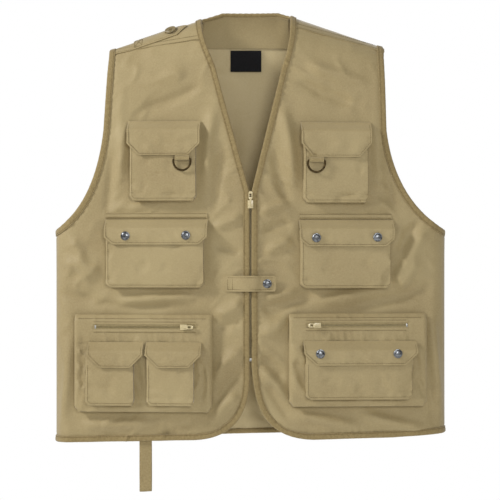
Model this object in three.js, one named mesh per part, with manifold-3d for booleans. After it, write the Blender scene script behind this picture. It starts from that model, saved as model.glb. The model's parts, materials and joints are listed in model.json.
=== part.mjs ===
// Fishing vest: a sleeveless cotton twill vest with nine pockets, hanging from its shoulders.
// Millimetres, +Z up, front towards -Y. The origin is the hanger seat at the top of the back neck.
// Sides are the wearer's: right pieces lie at negative X, left pieces at positive X.
import * as THREE from 'three';
import { mergeVertices } from 'three/addons/utils/BufferGeometryUtils.js';
import Module from 'manifold-3d';

const wasm = await Module();
wasm.setup();

// ---- driving dimensions ----

const HALF_CHEST = 318; // centre line to side seam
const FRONT_DEPTH = 52; // side seams' plane to the middle of the front
const BACK_DEPTH = 35; // side seams' plane to the back
const FRONT_TURN = THREE.MathUtils.degToRad(4.23); // each front falls back by this towards its side
const SIDE_ROUND = 30; // width of the rounding at each side seam
const SHOULDER_SLOPE = 0.342; // fall of the shoulder line per millimetre outwards
const SHOULDER_FLAT = 45; // half width of the level stretch at the neck
const SHOULDER_CURVE = 70; // height over which a shoulder rounds over
const NECK_RISE = 7; // how far the back neck stands above the shoulder line
const NECK_RIGHT = -80;
const NECK_LEFT = 65;
const NECK_SCOOP = 15; // how far the back neck is cut behind the shoulder line
const CLOTH = 1.5; // one layer of twill with its seam allowances
const GAP = 0.3; // clearance between touching pieces
const BINDING = 10; // visible width of the edge tape
const BINDING_PROUD = 1; // how far the tape stands out on each side of the cloth
const HEM_BINDING = 8;
const ZIP_TOP = -295;
const ZIP_FOOT = -569;
const ZIP_GAP = 2; // centre line to each front edge
const POUCH_DEPTH = 14; // how far a bellows pocket stands out
const BASE_DEPTH = 12; // how far a zipped lower pocket stands out
const SNAP_RADIUS = 7.5;
const STUD_HEIGHT = 2;
const FLAP_SLANT = 15; // height over which a flap slants out to clear its pocket
const NECK_BAND_FOOT = -90; // lower end of the back neck's binding cut, under the whole neck
const FACING_FOOT = -55; // lower edge of the neck facing
const FACING_THICKNESS = 1;
const LABEL_SIZE = [51, 0.8, 35];
const LABEL_PLACE = [-7.5, -76]; // X and Z of the label's middle
const BELOW = -800; // a level under the whole vest
const ABOVE = 30; // a level over the whole vest
const FAR = 120; // reach of the cutting prisms in front and behind

const SIDE_START = HALF_CHEST - SIDE_ROUND;
const PAST_SIDE = HALF_CHEST + 20; // a width past each side seam
const FLAP_CLEAR = STUD_HEIGHT + 2 * GAP; // pocket face to the inside of its flap

// ---- materials ----

const finish = (color, roughness, metalness = 0) =>
  new THREE.MeshStandardMaterial({ color, roughness, metalness });
const TWILL = finish('#a09068', 0.9);
const TAPE = finish('#998a60', 0.9);
const LABEL = finish('#16161a', 0.8);
const GUNMETAL = finish('#5c6468', 0.35, 1);
const ANTIQUE = finish('#463a24', 0.4, 1);
const ENAMEL = finish('#cfc29a', 0.45, 0.3);
const ZIPPER = finish('#7d6f4c', 0.7);
const HORN = finish('#8a7a55', 0.5);

// ---- solids ----

function solid(geometry) {
  const bare = geometry.clone();
  bare.deleteAttribute('normal');
  bare.deleteAttribute('uv');
  const merged = mergeVertices(bare, 1e-4);
  const vertProperties = new Float32Array(merged.attributes.position.array);
  const triVerts = new Uint32Array(merged.index.array);
  return new wasm.Manifold(new wasm.Mesh({ numProp: 3, vertProperties, triVerts }));
}

function node(name, shape, material, place = [0, 0, 0]) {
  let geometry = shape;
  if (!shape.isBufferGeometry) {
    const { vertProperties, triVerts } = shape.getMesh();
    geometry = new THREE.BufferGeometry();
    geometry.setAttribute('position', new THREE.BufferAttribute(vertProperties, 3));
    geometry.setIndex(new THREE.BufferAttribute(triVerts, 1));
    geometry.computeVertexNormals();
  }
  const mesh = new THREE.Mesh(geometry, material);
  mesh.name = name;
  mesh.position.set(...place);
  return mesh;
}

const corners = (points) => points.map(([x, y]) => new THREE.Vector2(x, y));

// An outline in X and Z, made solid from y = near back to y = far.
function prism(points, near, far) {
  const shape = new THREE.Shape(corners(points));
  const geometry = new THREE.ExtrudeGeometry(shape, { depth: far - near, bevelEnabled: false });
  geometry.rotateX(Math.PI / 2);
  geometry.translate(0, far, 0);
  return solid(geometry);
}

// An outline in X and Y, made solid from z = low to z = high.
function column(points, low, high) {
  const shape = new THREE.Shape(corners(points));
  const geometry = new THREE.ExtrudeGeometry(shape, { depth: high - low, bevelEnabled: false });
  geometry.translate(0, 0, low);
  return solid(geometry);
}

// A profile in Y and Z, made solid from x = from to x = to.
function rail(points, from, to) {
  const shape = new THREE.Shape(corners(points));
  const geometry = new THREE.ExtrudeGeometry(shape, { depth: to - from, bevelEnabled: false });
  const turn = new THREE.Matrix4().makeBasis(
    new THREE.Vector3(0, 1, 0),
    new THREE.Vector3(0, 0, 1),
    new THREE.Vector3(1, 0, 0),
  );
  geometry.applyMatrix4(turn);
  geometry.translate(from, 0, 0);
  return solid(geometry);
}

// ---- the body surface ----

function shoulderLine(x) {
  const fall = SHOULDER_SLOPE * Math.max(0, Math.abs(x) - SHOULDER_FLAT);
  const middle = (NECK_RIGHT + NECK_LEFT) / 2;
  const reach = (NECK_LEFT - NECK_RIGHT) / 2;
  return NECK_RISE * Math.max(0, 1 - ((x - middle) / reach) ** 2) - fall;
}

// A point of the body surface, at a depth under its outside.
// across: -1 to 1 over the flat width, and out to -2 and 2 round the sides.
// along: 0 to 1 up the front, 1 to 2 to the shoulder line, 2 to 3 down behind it, 3 to 4 down the back.
function bodyPoint(across, along, depth) {
  const turn = Math.max(0, Math.abs(across) - 1) * Math.PI / 2;
  const sideways = (SIDE_ROUND - depth) * Math.sin(turn) * Math.sign(across);
  const x = THREE.MathUtils.clamp(across, -1, 1) * SIDE_START + sideways;
  const slope = Math.tan(FRONT_TURN) * Math.min(Math.abs(x), SIDE_START);
  const front = (FRONT_DEPTH - slope - depth) * Math.cos(turn);
  const back = (BACK_DEPTH - depth) * Math.cos(turn);
  const curve = SHOULDER_CURVE - depth;
  const foot = shoulderLine(x) - SHOULDER_CURVE;
  const arc = (THREE.MathUtils.clamp(along, 1, 3) - 1) * Math.PI / 2;
  const y = -(along < 2 ? front : back) * Math.cos(arc);
  const straight = along < 1 ? 1 - along : Math.max(0, along - 3);
  return new THREE.Vector3(x, y, foot + curve * Math.sin(arc) + straight * (BELOW - foot));
}

function steps(...stops) {
  const list = [stops[0]];
  for (let i = 1; i < stops.length; i += 2) {
    const [count, end] = stops.slice(i, i + 2);
    const start = list[list.length - 1];
    for (let k = 1; k <= count; k += 1) list.push(start + (end - start) * k / count);
  }
  return list;
}

// A closed sheet over a grid: point(i, j, outer) gives each corner of its outer and inner faces.
function sheet(columns, rows, point) {
  const positions = [];
  const index = [];
  const at = (i, j, side) => (i * rows + j) * 2 + side;
  for (let i = 0; i < columns; i += 1) {
    for (let j = 0; j < rows; j += 1) {
      positions.push(...point(i, j, true).toArray(), ...point(i, j, false).toArray());
    }
  }
  const quad = (a, b, c, d) => index.push(a, b, c, a, c, d);
  for (let i = 0; i < columns - 1; i += 1) {
    for (let j = 0; j < rows - 1; j += 1) {
      quad(at(i, j, 0), at(i + 1, j, 0), at(i + 1, j + 1, 0), at(i, j + 1, 0));
      quad(at(i, j, 1), at(i, j + 1, 1), at(i + 1, j + 1, 1), at(i + 1, j, 1));
    }
    quad(at(i, 0, 0), at(i, 0, 1), at(i + 1, 0, 1), at(i + 1, 0, 0));
    quad(at(i, rows - 1, 0), at(i + 1, rows - 1, 0), at(i + 1, rows - 1, 1), at(i, rows - 1, 1));
  }
  for (let j = 0; j < rows - 1; j += 1) {
    quad(at(0, j, 0), at(0, j + 1, 0), at(0, j + 1, 1), at(0, j, 1));
    const last = columns - 1;
    quad(at(last, j, 0), at(last, j, 1), at(last, j + 1, 1), at(last, j + 1, 0));
  }
  const geometry = new THREE.BufferGeometry();
  geometry.setAttribute('position', new THREE.Float32BufferAttribute(positions, 3));
  geometry.setIndex(index);
  return solid(geometry);
}

// A layer of the body surface between two depths.
function layer(acrossStops, alongStops, outer, inner) {
  return sheet(acrossStops.length, alongStops.length, (i, j, isOuter) =>
    bodyPoint(acrossStops[i], alongStops[j], isOuter ? outer : inner));
}

const flatEdge = SHOULDER_FLAT / SIDE_START;
const neckEdges = [NECK_RIGHT / SIDE_START, NECK_LEFT / SIDE_START];
const ALL_ACROSS = [
  ...steps(-2, 3, -1, 1, neckEdges[0]),
  ...steps(-flatEdge, 4, flatEdge),
  ...steps(neckEdges[1], 1, 1, 3, 2),
];
const FRONT_ALONG = steps(0, 1, 1, 8, 2);
const BACK_ALONG = steps(1, 8, 2, 8, 3, 1, 4);

// ---- outlines, in X and Z ----

function path(start, ...stretches) {
  const line = new THREE.Path();
  line.moveTo(...start);
  for (const stretch of stretches) {
    if (stretch.length === 6) line.bezierCurveTo(...stretch);
    else line.lineTo(...stretch);
  }
  return line.getPoints(7).map((p) => [p.x, p.y]);
}

function rectangle(left, right, low, high) {
  return [[left, low], [right, low], [right, high], [left, high]];
}

// A line moved sideways, to its right as it is walked for a positive distance.
function besides(points, distance) {
  return points.map(([x, z], i) => {
    const before = points[Math.max(0, i - 1)];
    const after = points[Math.min(points.length - 1, i + 1)];
    const run = [after[0] - before[0], after[1] - before[1]];
    const length = Math.hypot(...run);
    return [x + run[1] / length * distance, z - run[0] / length * distance];
  });
}

// The stretch of an edge that its binding covers, as a closed outline that also reaches outside.
function band(edge, width, inward) {
  const outside = besides(edge, -20 * inward);
  const inside = besides(edge, width * inward);
  return [...outside, ...inside.reverse()];
}

const RIGHT = {
  inward: 1, // the cloth lies to the right of the front edge, walked downwards
  frontEdge: path(
    [NECK_RIGHT, ABOVE],
    [NECK_RIGHT, -10],
    [-80, -45, -66, -70, -58, -91],
    [-ZIP_GAP, ZIP_TOP],
    [-ZIP_GAP, -600],
    [-4, -655, -28, -692, -90, -695.5],
    [-PAST_SIDE, -701],
  ),
  armhole: path(
    [-228, -40],
    [-238, -195],
    [-246, -262, -268, -325, -HALF_CHEST, -357],
    [-PAST_SIDE, -368],
  ),
  seam: [[NECK_RIGHT, -50], [-230, -72]],
};

const LEFT = {
  inward: -1,
  frontEdge: path(
    [NECK_LEFT, ABOVE],
    [NECK_LEFT, -11],
    [66, -45, 60, -70, 52, -92],
    [ZIP_GAP, ZIP_TOP],
    [ZIP_GAP, ZIP_FOOT],
    [6, -640, 20, -692, 102, -695],
    [231, -692],
    [PAST_SIDE, -686],
  ),
  armhole: path(
    [215, -40],
    [220, -195],
    [228, -262, 258, -325, HALF_CHEST, -357],
    [PAST_SIDE, -368],
  ),
  seam: [[NECK_LEFT, -28], [218, -67]],
};

const BACK_RIGHT_ARMHOLE = path(
  [-231, ABOVE],
  [-238, -195],
  [-246, -262, -268, -325, -HALF_CHEST, -357],
  [-PAST_SIDE, -362],
);
const BACK_LEFT_ARMHOLE = path(
  [219, ABOVE],
  [224, -195],
  [232, -262, 262, -325, HALF_CHEST, -357],
  [PAST_SIDE, -362],
);
const BACK_HEM = [[-PAST_SIDE, -701], [0, -692], [PAST_SIDE, -686]];
const BACK_OUTLINE = [...BACK_RIGHT_ARMHOLE, ...BACK_HEM, ...BACK_LEFT_ARMHOLE.slice().reverse()];

// A yoke's outline: everything over its front seam, from the neck to the armhole.
function yokeOutline({ seam: [[neckX, neckZ], [tipX, tipZ]] }) {
  return [[neckX, ABOVE], [neckX, neckZ], [tipX, tipZ], [tipX, ABOVE]];
}

// Everything under a front's seam, past both ends of it.
function underSeam({ seam: [[neckX, neckZ], [tipX, tipZ]] }) {
  const fall = (tipZ - neckZ) / (tipX - neckX);
  const reach = [neckX * -0.5, tipX * 1.5];
  const top = reach.map((x) => [x, neckZ + fall * (x - neckX) - GAP]);
  return [...top, [reach[1], BELOW], [reach[0], BELOW]];
}

// The neck opening seen from above, grown outwards by a distance.
function neckOpening(grow) {
  const middle = (NECK_RIGHT + NECK_LEFT) / 2;
  const reach = (NECK_LEFT - NECK_RIGHT) / 2 + grow;
  const arc = new THREE.EllipseCurve(middle, 0, reach, NECK_SCOOP + grow, 0, Math.PI);
  const scoop = arc.getPoints(12).map((p) => [p.x, p.y]);
  return [...scoop, [middle - reach, -FAR], [middle + reach, -FAR]];
}

// ---- shell pieces ----

function frontPieces(side, name) {
  const across = side.inward > 0 ? steps(-2, 3, -1, 2, 0) : steps(0, 2, 1, 3, 2);
  const outline = prism([...side.frontEdge, ...side.armhole.slice().reverse()], -FAR, -GAP);
  const area = outline.intersect(prism(underSeam(side), -FAR, 0));
  const cloth = layer(across, FRONT_ALONG, 0, CLOTH).intersect(area);
  const tape = layer(across, FRONT_ALONG, -BINDING_PROUD, CLOTH + BINDING_PROUD).intersect(area);
  const cut = (edge, width, inward) => prism(band(edge, width, inward), -FAR, 0);
  const panel = cloth
    .subtract(cut(side.frontEdge, BINDING + GAP, side.inward))
    .subtract(cut(side.armhole, BINDING + GAP, -side.inward));
  const frontBinding = tape
    .intersect(cut(side.frontEdge, BINDING, side.inward));
  const armholeBinding = tape
    .intersect(cut(side.armhole, BINDING, -side.inward));
  return [
    node(`${name}_front_panel`, panel, TWILL),
    node(`${name}_front_edge_binding`, frontBinding, TAPE),
    node(`${name}_armhole_binding`, armholeBinding, TAPE),
  ];
}

function backPieces() {
  const yokes = prism(yokeOutline(RIGHT), -FAR, 2).add(prism(yokeOutline(LEFT), -FAR, 2));
  const area = prism(BACK_OUTLINE, GAP, FAR).add(yokes);
  const hemBand = prism(band(BACK_HEM, HEM_BINDING, -1), 0, FAR);
  const hemCut = prism(band(BACK_HEM, HEM_BINDING + GAP, -1), 0, FAR);
  const cloth = layer(ALL_ACROSS, BACK_ALONG, 0, CLOTH).intersect(area);
  const tape = layer(ALL_ACROSS, BACK_ALONG, -BINDING_PROUD, CLOTH + BINDING_PROUD)
    .intersect(area);
  const neck = column(neckOpening(0), BELOW, ABOVE);
  const neckBand = column(neckOpening(BINDING), NECK_BAND_FOOT, ABOVE).subtract(neck);
  const neckCut = column(neckOpening(BINDING + GAP), NECK_BAND_FOOT, ABOVE);
  const facingOutside = CLOTH + BINDING_PROUD + GAP;
  const facingInside = facingOutside + FACING_THICKNESS;
  const facingAcross = steps(neckEdges[0], 1, -flatEdge, 4, flatEdge, 1, neckEdges[1]);
  const facing = layer(facingAcross, steps(2, 8, 3), facingOutside, facingInside)
    .intersect(prism(rectangle(NECK_RIGHT, NECK_LEFT, FACING_FOOT, ABOVE), 0, FAR))
    .subtract(column(neckOpening(GAP), BELOW, ABOVE));
  const label = new THREE.BoxGeometry(...LABEL_SIZE);
  const labelDepth = BACK_DEPTH - CLOTH - 2 * LABEL_SIZE[1];
  return [
    node('back_panel', cloth.subtract(neckCut).subtract(hemCut), TWILL),
    node('neck_binding', tape.intersect(neckBand), TAPE),
    node('back_hem_binding', tape.intersect(hemBand), TAPE),
    node('neck_facing', facing, TWILL),
    node('size_label', label, LABEL, [LABEL_PLACE[0], labelDepth, LABEL_PLACE[1]]),
  ];
}

// ---- shoulder strap ----

const STRAP = {
  stops: [-190, -166, -142, -119, -111, -103], // from the sewn end to the tip
  shoulder: -119, // where the point starts
  tip: -103,
  point: 0.08, // the tip's width as a share of the strap's
  middle: 1.77, // its middle along the surface, in bodyPoint's measure
  half: 0.19, // half its width in that measure
  lift: 0.9, // clearance over the yoke
  thickness: 2,
};
const BUTTON = {
  x: -129,
  lift: 0.5, // clearance over the yoke
  hole: 12, // radius cut in the strap for it
  threadReach: 1.8, // from its middle to each thread hole's, both ways
  threadHole: 0.9,
  profile: [[0, 0], [3, 0], [3, 3.2], [10, 3.2], [10, 5.6], [9, 6.2], [7.5, 5.5], [0, 5.3]],
};

// The strap's half width at x, in bodyPoint's measure.
function strapReach(x) {
  const share = (STRAP.tip - x) / (STRAP.tip - STRAP.shoulder);
  return STRAP.half * Math.min(1, STRAP.point + (1 - STRAP.point) * share);
}

function strapPieces() {
  const { stops, middle, lift, thickness } = STRAP;
  const strap = sheet(stops.length, 5, (i, j, outer) => {
    const along = middle + strapReach(stops[i]) * (j / 2 - 1);
    return bodyPoint(stops[i] / SIDE_START, along, -lift - (outer ? thickness : 0));
  });
  const across = BUTTON.x / SIDE_START;
  const seat = bodyPoint(across, middle, -BUTTON.lift);
  const outward = bodyPoint(across, middle, -BUTTON.lift - 1).sub(seat);
  const sideways = bodyPoint(across - 0.01, middle, -BUTTON.lift).sub(seat);
  const onwards = bodyPoint(across, middle - 0.01, -BUTTON.lift).sub(seat);
  const normal = new THREE.Vector3().crossVectors(sideways, onwards).normalize();
  if (normal.dot(outward) < 0) normal.negate();
  const upright = new THREE.Quaternion().setFromUnitVectors(THREE.Object3D.DEFAULT_UP, normal);
  const hole = new THREE.CylinderGeometry(BUTTON.hole, BUTTON.hole, 30, 16);
  hole.applyQuaternion(upright);
  hole.translate(...seat.toArray());
  const reach = BUTTON.threadReach;
  const holes = [[-reach, -reach], [reach, -reach], [-reach, reach], [reach, reach]];
  const drilled = holes.reduce((button, [x, z]) => {
    const drill = new THREE.CylinderGeometry(BUTTON.threadHole, BUTTON.threadHole, 2.6, 6);
    drill.translate(x, 5.3, z);
    return button.subtract(solid(drill));
  }, solid(new THREE.LatheGeometry(corners(BUTTON.profile), 20)));
  const button = node('strap_button', drilled, HORN, seat.toArray());
  button.quaternion.copy(upright);
  return [node('shoulder_strap', strap.subtract(solid(hole)), TWILL), button];
}

// ---- pockets, in the frame of their own front: y = 0 is its cloth's outside ----

const POUCH_FACE = -GAP - POUCH_DEPTH;
const BASE_FACE = -GAP - BASE_DEPTH;
const SMALL_FACE = BASE_FACE - GAP - POUCH_DEPTH;
const CHAMFER = 6; // at a bag's lower corners
const SLOT_REACH = 5; // half the height of a level zip's slot
const TEETH_PROUD = 0.8; // how far a level zip's teeth stand out of its pocket
const RIB_PROUD = 0.8; // how far a slider's rib stands out
const PULL_CLEAR = 1.1; // from a slider's rib to the middle of its pull

// The outline of a bag with chamfered lower corners, drawn in by an inset.
function bagOutline({ left, right, top, bottom }, inset) {
  const corner = CHAMFER + inset / 2;
  return [
    [left + inset, top],
    [left + inset, bottom + corner],
    [left + corner, bottom + inset],
    [right - corner, bottom + inset],
    [right - inset, bottom + corner],
    [right - inset, top],
  ];
}

// An open-topped bag; back is the y of its inner wall's outside.
function pouch(bag, back) {
  const outside = prism(bagOutline(bag, 0), back - POUCH_DEPTH, back);
  const room = bagOutline({ ...bag, top: bag.top + 10 }, CLOTH);
  return outside.subtract(prism(room, back - POUCH_DEPTH + CLOTH, back - CLOTH));
}

// A flap that starts at the cloth behind its pocket, slants out over it and hangs down its face.
// side is the height where its chamfered lower corners start.
function flap({ left, right, top, side, bottom, corner, face }) {
  const inner = face - FLAP_CLEAR;
  const start = face + POUCH_DEPTH - 0.5;
  const profile = [
    [start, top],
    [inner, top - FLAP_SLANT],
    [inner, bottom],
    [inner - CLOTH, bottom],
    [inner - CLOTH, top - FLAP_SLANT + 0.6],
    [start - CLOTH - 0.6, top],
  ];
  const outline = [
    [left, top + 1],
    [left, side],
    [left + corner, bottom],
    [right - corner, bottom],
    [right, side],
    [right, top + 1],
  ];
  return rail(profile, left, right).intersect(prism(outline, -FAR, FAR));
}

function snapCap() {
  const profile = [[0, 0], [SNAP_RADIUS, 0], [SNAP_RADIUS, 0.9], [6.2, 2.1], [3.4, 2.9], [0, 3.1]];
  return new THREE.LatheGeometry(corners(profile), 14).rotateX(Math.PI);
}

function snapStud() {
  return new THREE.CylinderGeometry(5, 6, STUD_HEIGHT, 12).rotateX(Math.PI);
}

// Caps on a flap and studs on the pocket behind it, at the same places.
function snaps(name, places, face) {
  const capFace = face - FLAP_CLEAR - CLOTH - GAP;
  const studMiddle = face - GAP - STUD_HEIGHT / 2;
  return ['right', 'left'].flatMap((label, i) => {
    const [x, z] = places[i];
    return [
      node(`${name}_${label}_cap`, snapCap(), GUNMETAL, [x, capFace, z]),
      node(`${name}_${label}_stud`, snapStud(), GUNMETAL, [x, studMiddle, z]),
    ];
  });
}

const RING = {
  wire: 3.2,
  outer: 15.5, // half its width
  drop: 16.4, // height of its round part
  tab: 24, // width of the webbing
  barRoom: 2.5, // radius of the webbing's fold, inside
  tabWall: 1.4,
};

// A webbing tab sewn to the pocket under its flap, folded round the bar of a D-ring.
function ringPieces(name, x, barZ, tabTop, face) {
  const half = RING.wire / 2;
  const barY = face - GAP - RING.barRoom - RING.tabWall;
  const outer = RING.barRoom + RING.tabWall;
  const loop = new THREE.EllipseCurve(barY, barZ, outer, outer);
  const round = loop.getPoints(12).slice(0, 12).map((p) => [p.x, p.y]);
  const eye = new THREE.EllipseCurve(barY, barZ, RING.barRoom, RING.barRoom);
  const room = eye.getPoints(12).slice(0, 12).map((p) => [p.x, p.y]);
  const strip = [
    [face - GAP, barZ],
    [face - GAP, tabTop],
    [face - GAP - CLOTH, tabTop],
    [face - GAP - CLOTH, barZ],
  ];
  const from = x - RING.tab / 2;
  const to = x + RING.tab / 2;
  const tab = rail(round, from, to).add(rail(strip, from, to)).subtract(rail(room, from - 1, to + 1));
  const outline = (radius, drop, top) => {
    const arc = new THREE.EllipseCurve(x, barZ - 4, radius, drop, Math.PI, 2 * Math.PI);
    const points = arc.getPoints(14).map((p) => [p.x, p.y]);
    return [...points, [x + radius, barZ + top], [x - radius, barZ + top]];
  };
  const hole = outline(RING.outer - RING.wire, RING.drop - RING.wire, -half);
  const ring = prism(outline(RING.outer, RING.drop, half), barY - half, barY + half)
    .subtract(prism(hole, -FAR, FAR));
  return [node(`${name}_ring_tab`, tab, TAPE), node(`${name}_d_ring`, ring, ANTIQUE)];
}

// A zipped pocket: closed all round, with a slot in its face for the zip.
function zippedPocket(bag) {
  const { slot } = bag;
  const outside = prism(bagOutline(bag, 0), BASE_FACE, -GAP);
  const room = bagOutline({ ...bag, top: bag.top - CLOTH }, CLOTH);
  const inside = prism(room, BASE_FACE + CLOTH, -GAP - CLOTH);
  const window = rectangle(slot.left, slot.right, slot.z - SLOT_REACH, slot.z + SLOT_REACH);
  return outside.subtract(inside).subtract(prism(window, BASE_FACE - 1, BASE_FACE + CLOTH + 1));
}

// A closed zip: tape in its slot, with the tooth rows raised along the middle.
function closedZip(slot, face) {
  const half = SLOT_REACH - GAP;
  const tape = rectangle(slot.left + GAP, slot.right - GAP, slot.z - half, slot.z + half);
  const teeth = rectangle(slot.left + 3, slot.right - 3, slot.z - 2, slot.z + 2);
  return prism(tape, face, face + CLOTH).add(prism(teeth, face - TEETH_PROUD, face + 0.5));
}

// A slider body with a raised rib, pointing along X or Z.
function sliderBody(length, width, height) {
  const waist = width * 0.36;
  const half = length / 2;
  const outline = [
    [-half, -waist],
    [half * 0.3, -width / 2],
    [half, -width / 2 + 0.8],
    [half, width / 2 - 0.8],
    [half * 0.3, width / 2],
    [-half, waist],
  ];
  const rib = rectangle(-half * 0.6, half * 0.6, -1, 1);
  return prism(outline, -height, 0).add(prism(rib, -height - RIB_PROUD, -height / 2));
}

// A pull with its eye at the origin, pointing along +X.
function pullTab(length, width) {
  const half = width / 2;
  const outline = [
    [-0.6, -1.2],
    [4, -1.2],
    [6, -half],
    [length - 2, -half],
    [length, -half + 1.5],
    [length, half - 1.5],
    [length - 2, half],
    [6, half],
    [4, 1.2],
    [-0.6, 1.2],
  ];
  const opening = rectangle(7, length - 3, -half + 1.4, half - 1.4);
  return prism(outline, -0.6, 0.6).subtract(prism(opening, -1, 1));
}

// Slider and pull of a level zip; heading is 1 where the pull points towards +X.
function zipRunner(name, x, z, face, heading) {
  const front = face - TEETH_PROUD - GAP;
  const height = 2.6;
  const pullMiddle = front - height - RIB_PROUD - PULL_CLEAR;
  const slider = node(`${name}_slider`, sliderBody(11, 9, height), ENAMEL, [x, front, z]);
  const pull = node(`${name}_pull`, pullTab(16, 6.5), ENAMEL, [x, pullMiddle, z]);
  if (heading < 0) {
    slider.rotation.y = Math.PI;
    pull.rotation.y = Math.PI;
  }
  return [slider, pull];
}

// A bellows pocket under its flap.
function bellows(name, bag, lid, back = -GAP) {
  const face = back - POUCH_DEPTH;
  return [
    node(`${name}_pocket`, pouch(bag, back), TWILL),
    node(`${name}_flap`, flap({ ...lid, face }), TWILL),
  ];
}

function rightPockets() {
  const slot = { left: -254, right: -83, z: -513 };
  const lower = { left: -285, right: -62, top: -494, bottom: -650, slot };
  const small = { top: -554, bottom: -639 };
  const smallLid = { top: -537, side: -558, bottom: -578, corner: 20 };
  const smallBack = BASE_FACE - GAP;
  return [
    ...bellows('right_chest', { left: -195, right: -84, top: -197, bottom: -309 },
      { left: -199, right: -81, top: -180, side: -217, bottom: -236, corner: 19 }),
    ...ringPieces('right', -109, -241.5, -215, POUCH_FACE),
    ...bellows('right_waist', { left: -234, right: -71, top: -356, bottom: -449 },
      { left: -236, right: -69, top: -339, side: -368, bottom: -380, corner: 14 }),
    ...snaps('right_waist', [[-201, -366], [-103, -365]], POUCH_FACE),
    node('right_lower_pocket', zippedPocket(lower), TWILL),
    node('right_lower_zip', closedZip(slot, BASE_FACE), ZIPPER),
    ...zipRunner('right_lower', -107, slot.z, BASE_FACE, 1),
    ...bellows('right_outer', { left: -265, right: -183, ...small },
      { left: -262, right: -172, ...smallLid }, smallBack),
    ...bellows('right_inner', { left: -166, right: -86, ...small },
      { left: -168, right: -78, ...smallLid }, smallBack),
  ];
}

function leftPockets() {
  const slot = { left: 88, right: 256, z: -510 };
  const lower = { left: 62, right: 285, top: -492, bottom: -641, slot };
  return [
    ...bellows('left_chest', { left: 85, right: 193, top: -197, bottom: -312 },
      { left: 81, right: 195, top: -182, side: -217, bottom: -239, corner: 19 }),
    ...ringPieces('left', 105, -244.5, -218, POUCH_FACE),
    ...bellows('left_waist', { left: 80, right: 230, top: -357, bottom: -450 },
      { left: 78, right: 232, top: -340, side: -371, bottom: -383, corner: 14 }),
    ...snaps('left_waist', [[105, -369], [204, -368]], POUCH_FACE),
    node('left_lower_pocket', zippedPocket(lower), TWILL),
    node('left_lower_zip', closedZip(slot, BASE_FACE), ZIPPER),
    ...zipRunner('left_lower', 107, slot.z, BASE_FACE, -1),
    ...bellows('left_cargo', { left: 87, right: 264, top: -552, bottom: -629 },
      { left: 84, right: 268, top: -535, side: -555, bottom: -574, corner: 20 }, BASE_FACE - GAP),
    ...snaps('left_cargo', [[110, -555], [235, -555]], SMALL_FACE),
  ];
}

// ---- main fastening ----

const ZIP_BACK = CLOTH + BINDING_PROUD + GAP; // cloth's outside to the front of the zip tape
const MAIN_Z = -315; // middle of the main slider with the zip closed
const TAB = { low: -456, high: -430, snap: 27, middle: -443, studBack: -52.2 };

// Half of the main zip, behind its front's edge, with its tooth row in the gap between the edges.
function zipHalf(name, sign) {
  const back = ZIP_BACK + 1.2;
  const outline = [
    [sign * 0.6, back],
    [sign * 0.6, ZIP_BACK - 1.6],
    [sign * 1.8, ZIP_BACK - 1.6],
    [sign * 1.8, ZIP_BACK],
    [sign * 14, ZIP_BACK],
    [sign * 14, back],
  ];
  return node(name, column(outline, ZIP_FOOT, ZIP_TOP - 6), ZIPPER);
}

// The slider's plate lies over both edges, and its stem reaches between them to the teeth.
function mainRunner() {
  const height = 2;
  const plate = sliderBody(13, 9, height).rotate([0, 90, 0]);
  const stem = prism(rectangle(-1.2, 1.2, -5, 5), -0.5, 1.6);
  const face = -FRONT_DEPTH - BINDING_PROUD - GAP;
  const slider = node('main_slider', plate.add(stem), ENAMEL, [0, face, MAIN_Z]);
  const pullMiddle = face - height - RIB_PROUD - PULL_CLEAR;
  const pull = node('main_pull', pullTab(17, 6.5), ENAMEL, [0, pullMiddle, MAIN_Z + 4]);
  pull.rotation.y = -Math.PI / 2;
  return [slider, pull];
}

// A strip that bulges over the zip so that the slider can pass, sewn on the right front and
// snapped on the left.
function closureTab() {
  const inside = [
    [-41, -50.2],
    [-31, -51],
    [-14, -57.6],
    [0, -59.2],
    [10, -58.4],
    [17, -54.2],
    [41, -54.2],
  ];
  const outside = inside.map(([x, y]) => [x, y - CLOTH]).reverse();
  const tab = column([...inside, ...outside], TAB.low, TAB.high);
  const capFace = inside[6][1] - CLOTH - GAP;
  return [
    node('closure_tab', tab, TWILL),
    node('tab_cap', snapCap(), GUNMETAL, [TAB.snap, capFace, TAB.middle]),
    node('tab_stud', snapStud(), GUNMETAL, [TAB.snap, TAB.studBack, TAB.middle]),
  ];
}

// ---- hem loop ----

const LOOP = { from: -181, to: -161, top: -693, bottom: -781, room: 6, inside: 3.5 };

function hemLoop() {
  const { from, to, top, bottom, room, inside } = LOOP;
  const middle = inside + CLOTH + room / 2;
  const ring = (inset) => {
    const half = room / 2 + CLOTH - inset;
    const low = bottom + half + inset;
    const round = new THREE.EllipseCurve(middle, low, half, half, Math.PI, 2 * Math.PI);
    const points = round.getPoints(8).map((p) => [p.x, p.y]);
    return [...points, [middle + half, top - inset], [middle - half, top - inset]];
  };
  const eye = rail(ring(CLOTH), from - 1, to + 1);
  return node('hem_loop', rail(ring(0), from, to).subtract(eye), TAPE);
}

// ---- assembly ----

// A front's own frame, with y = 0 on its cloth's outside and X along its slope.
function frontFrame(sign, pieces) {
  const frame = new THREE.Group();
  frame.position.y = -FRONT_DEPTH;
  frame.rotation.z = sign * FRONT_TURN;
  frame.add(...pieces);
  return frame;
}

const vest = new THREE.Group();
vest.add(...backPieces());
vest.add(...strapPieces());
vest.add(...frontPieces(RIGHT, 'right'));
vest.add(...frontPieces(LEFT, 'left'));
vest.add(...mainRunner(), ...closureTab());
vest.add(frontFrame(-1, [...rightPockets(), zipHalf('right_zip_tape', -1), hemLoop()]));
vest.add(frontFrame(1, [...leftPockets(), zipHalf('left_zip_tape', 1)]));

export default vest;
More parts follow.
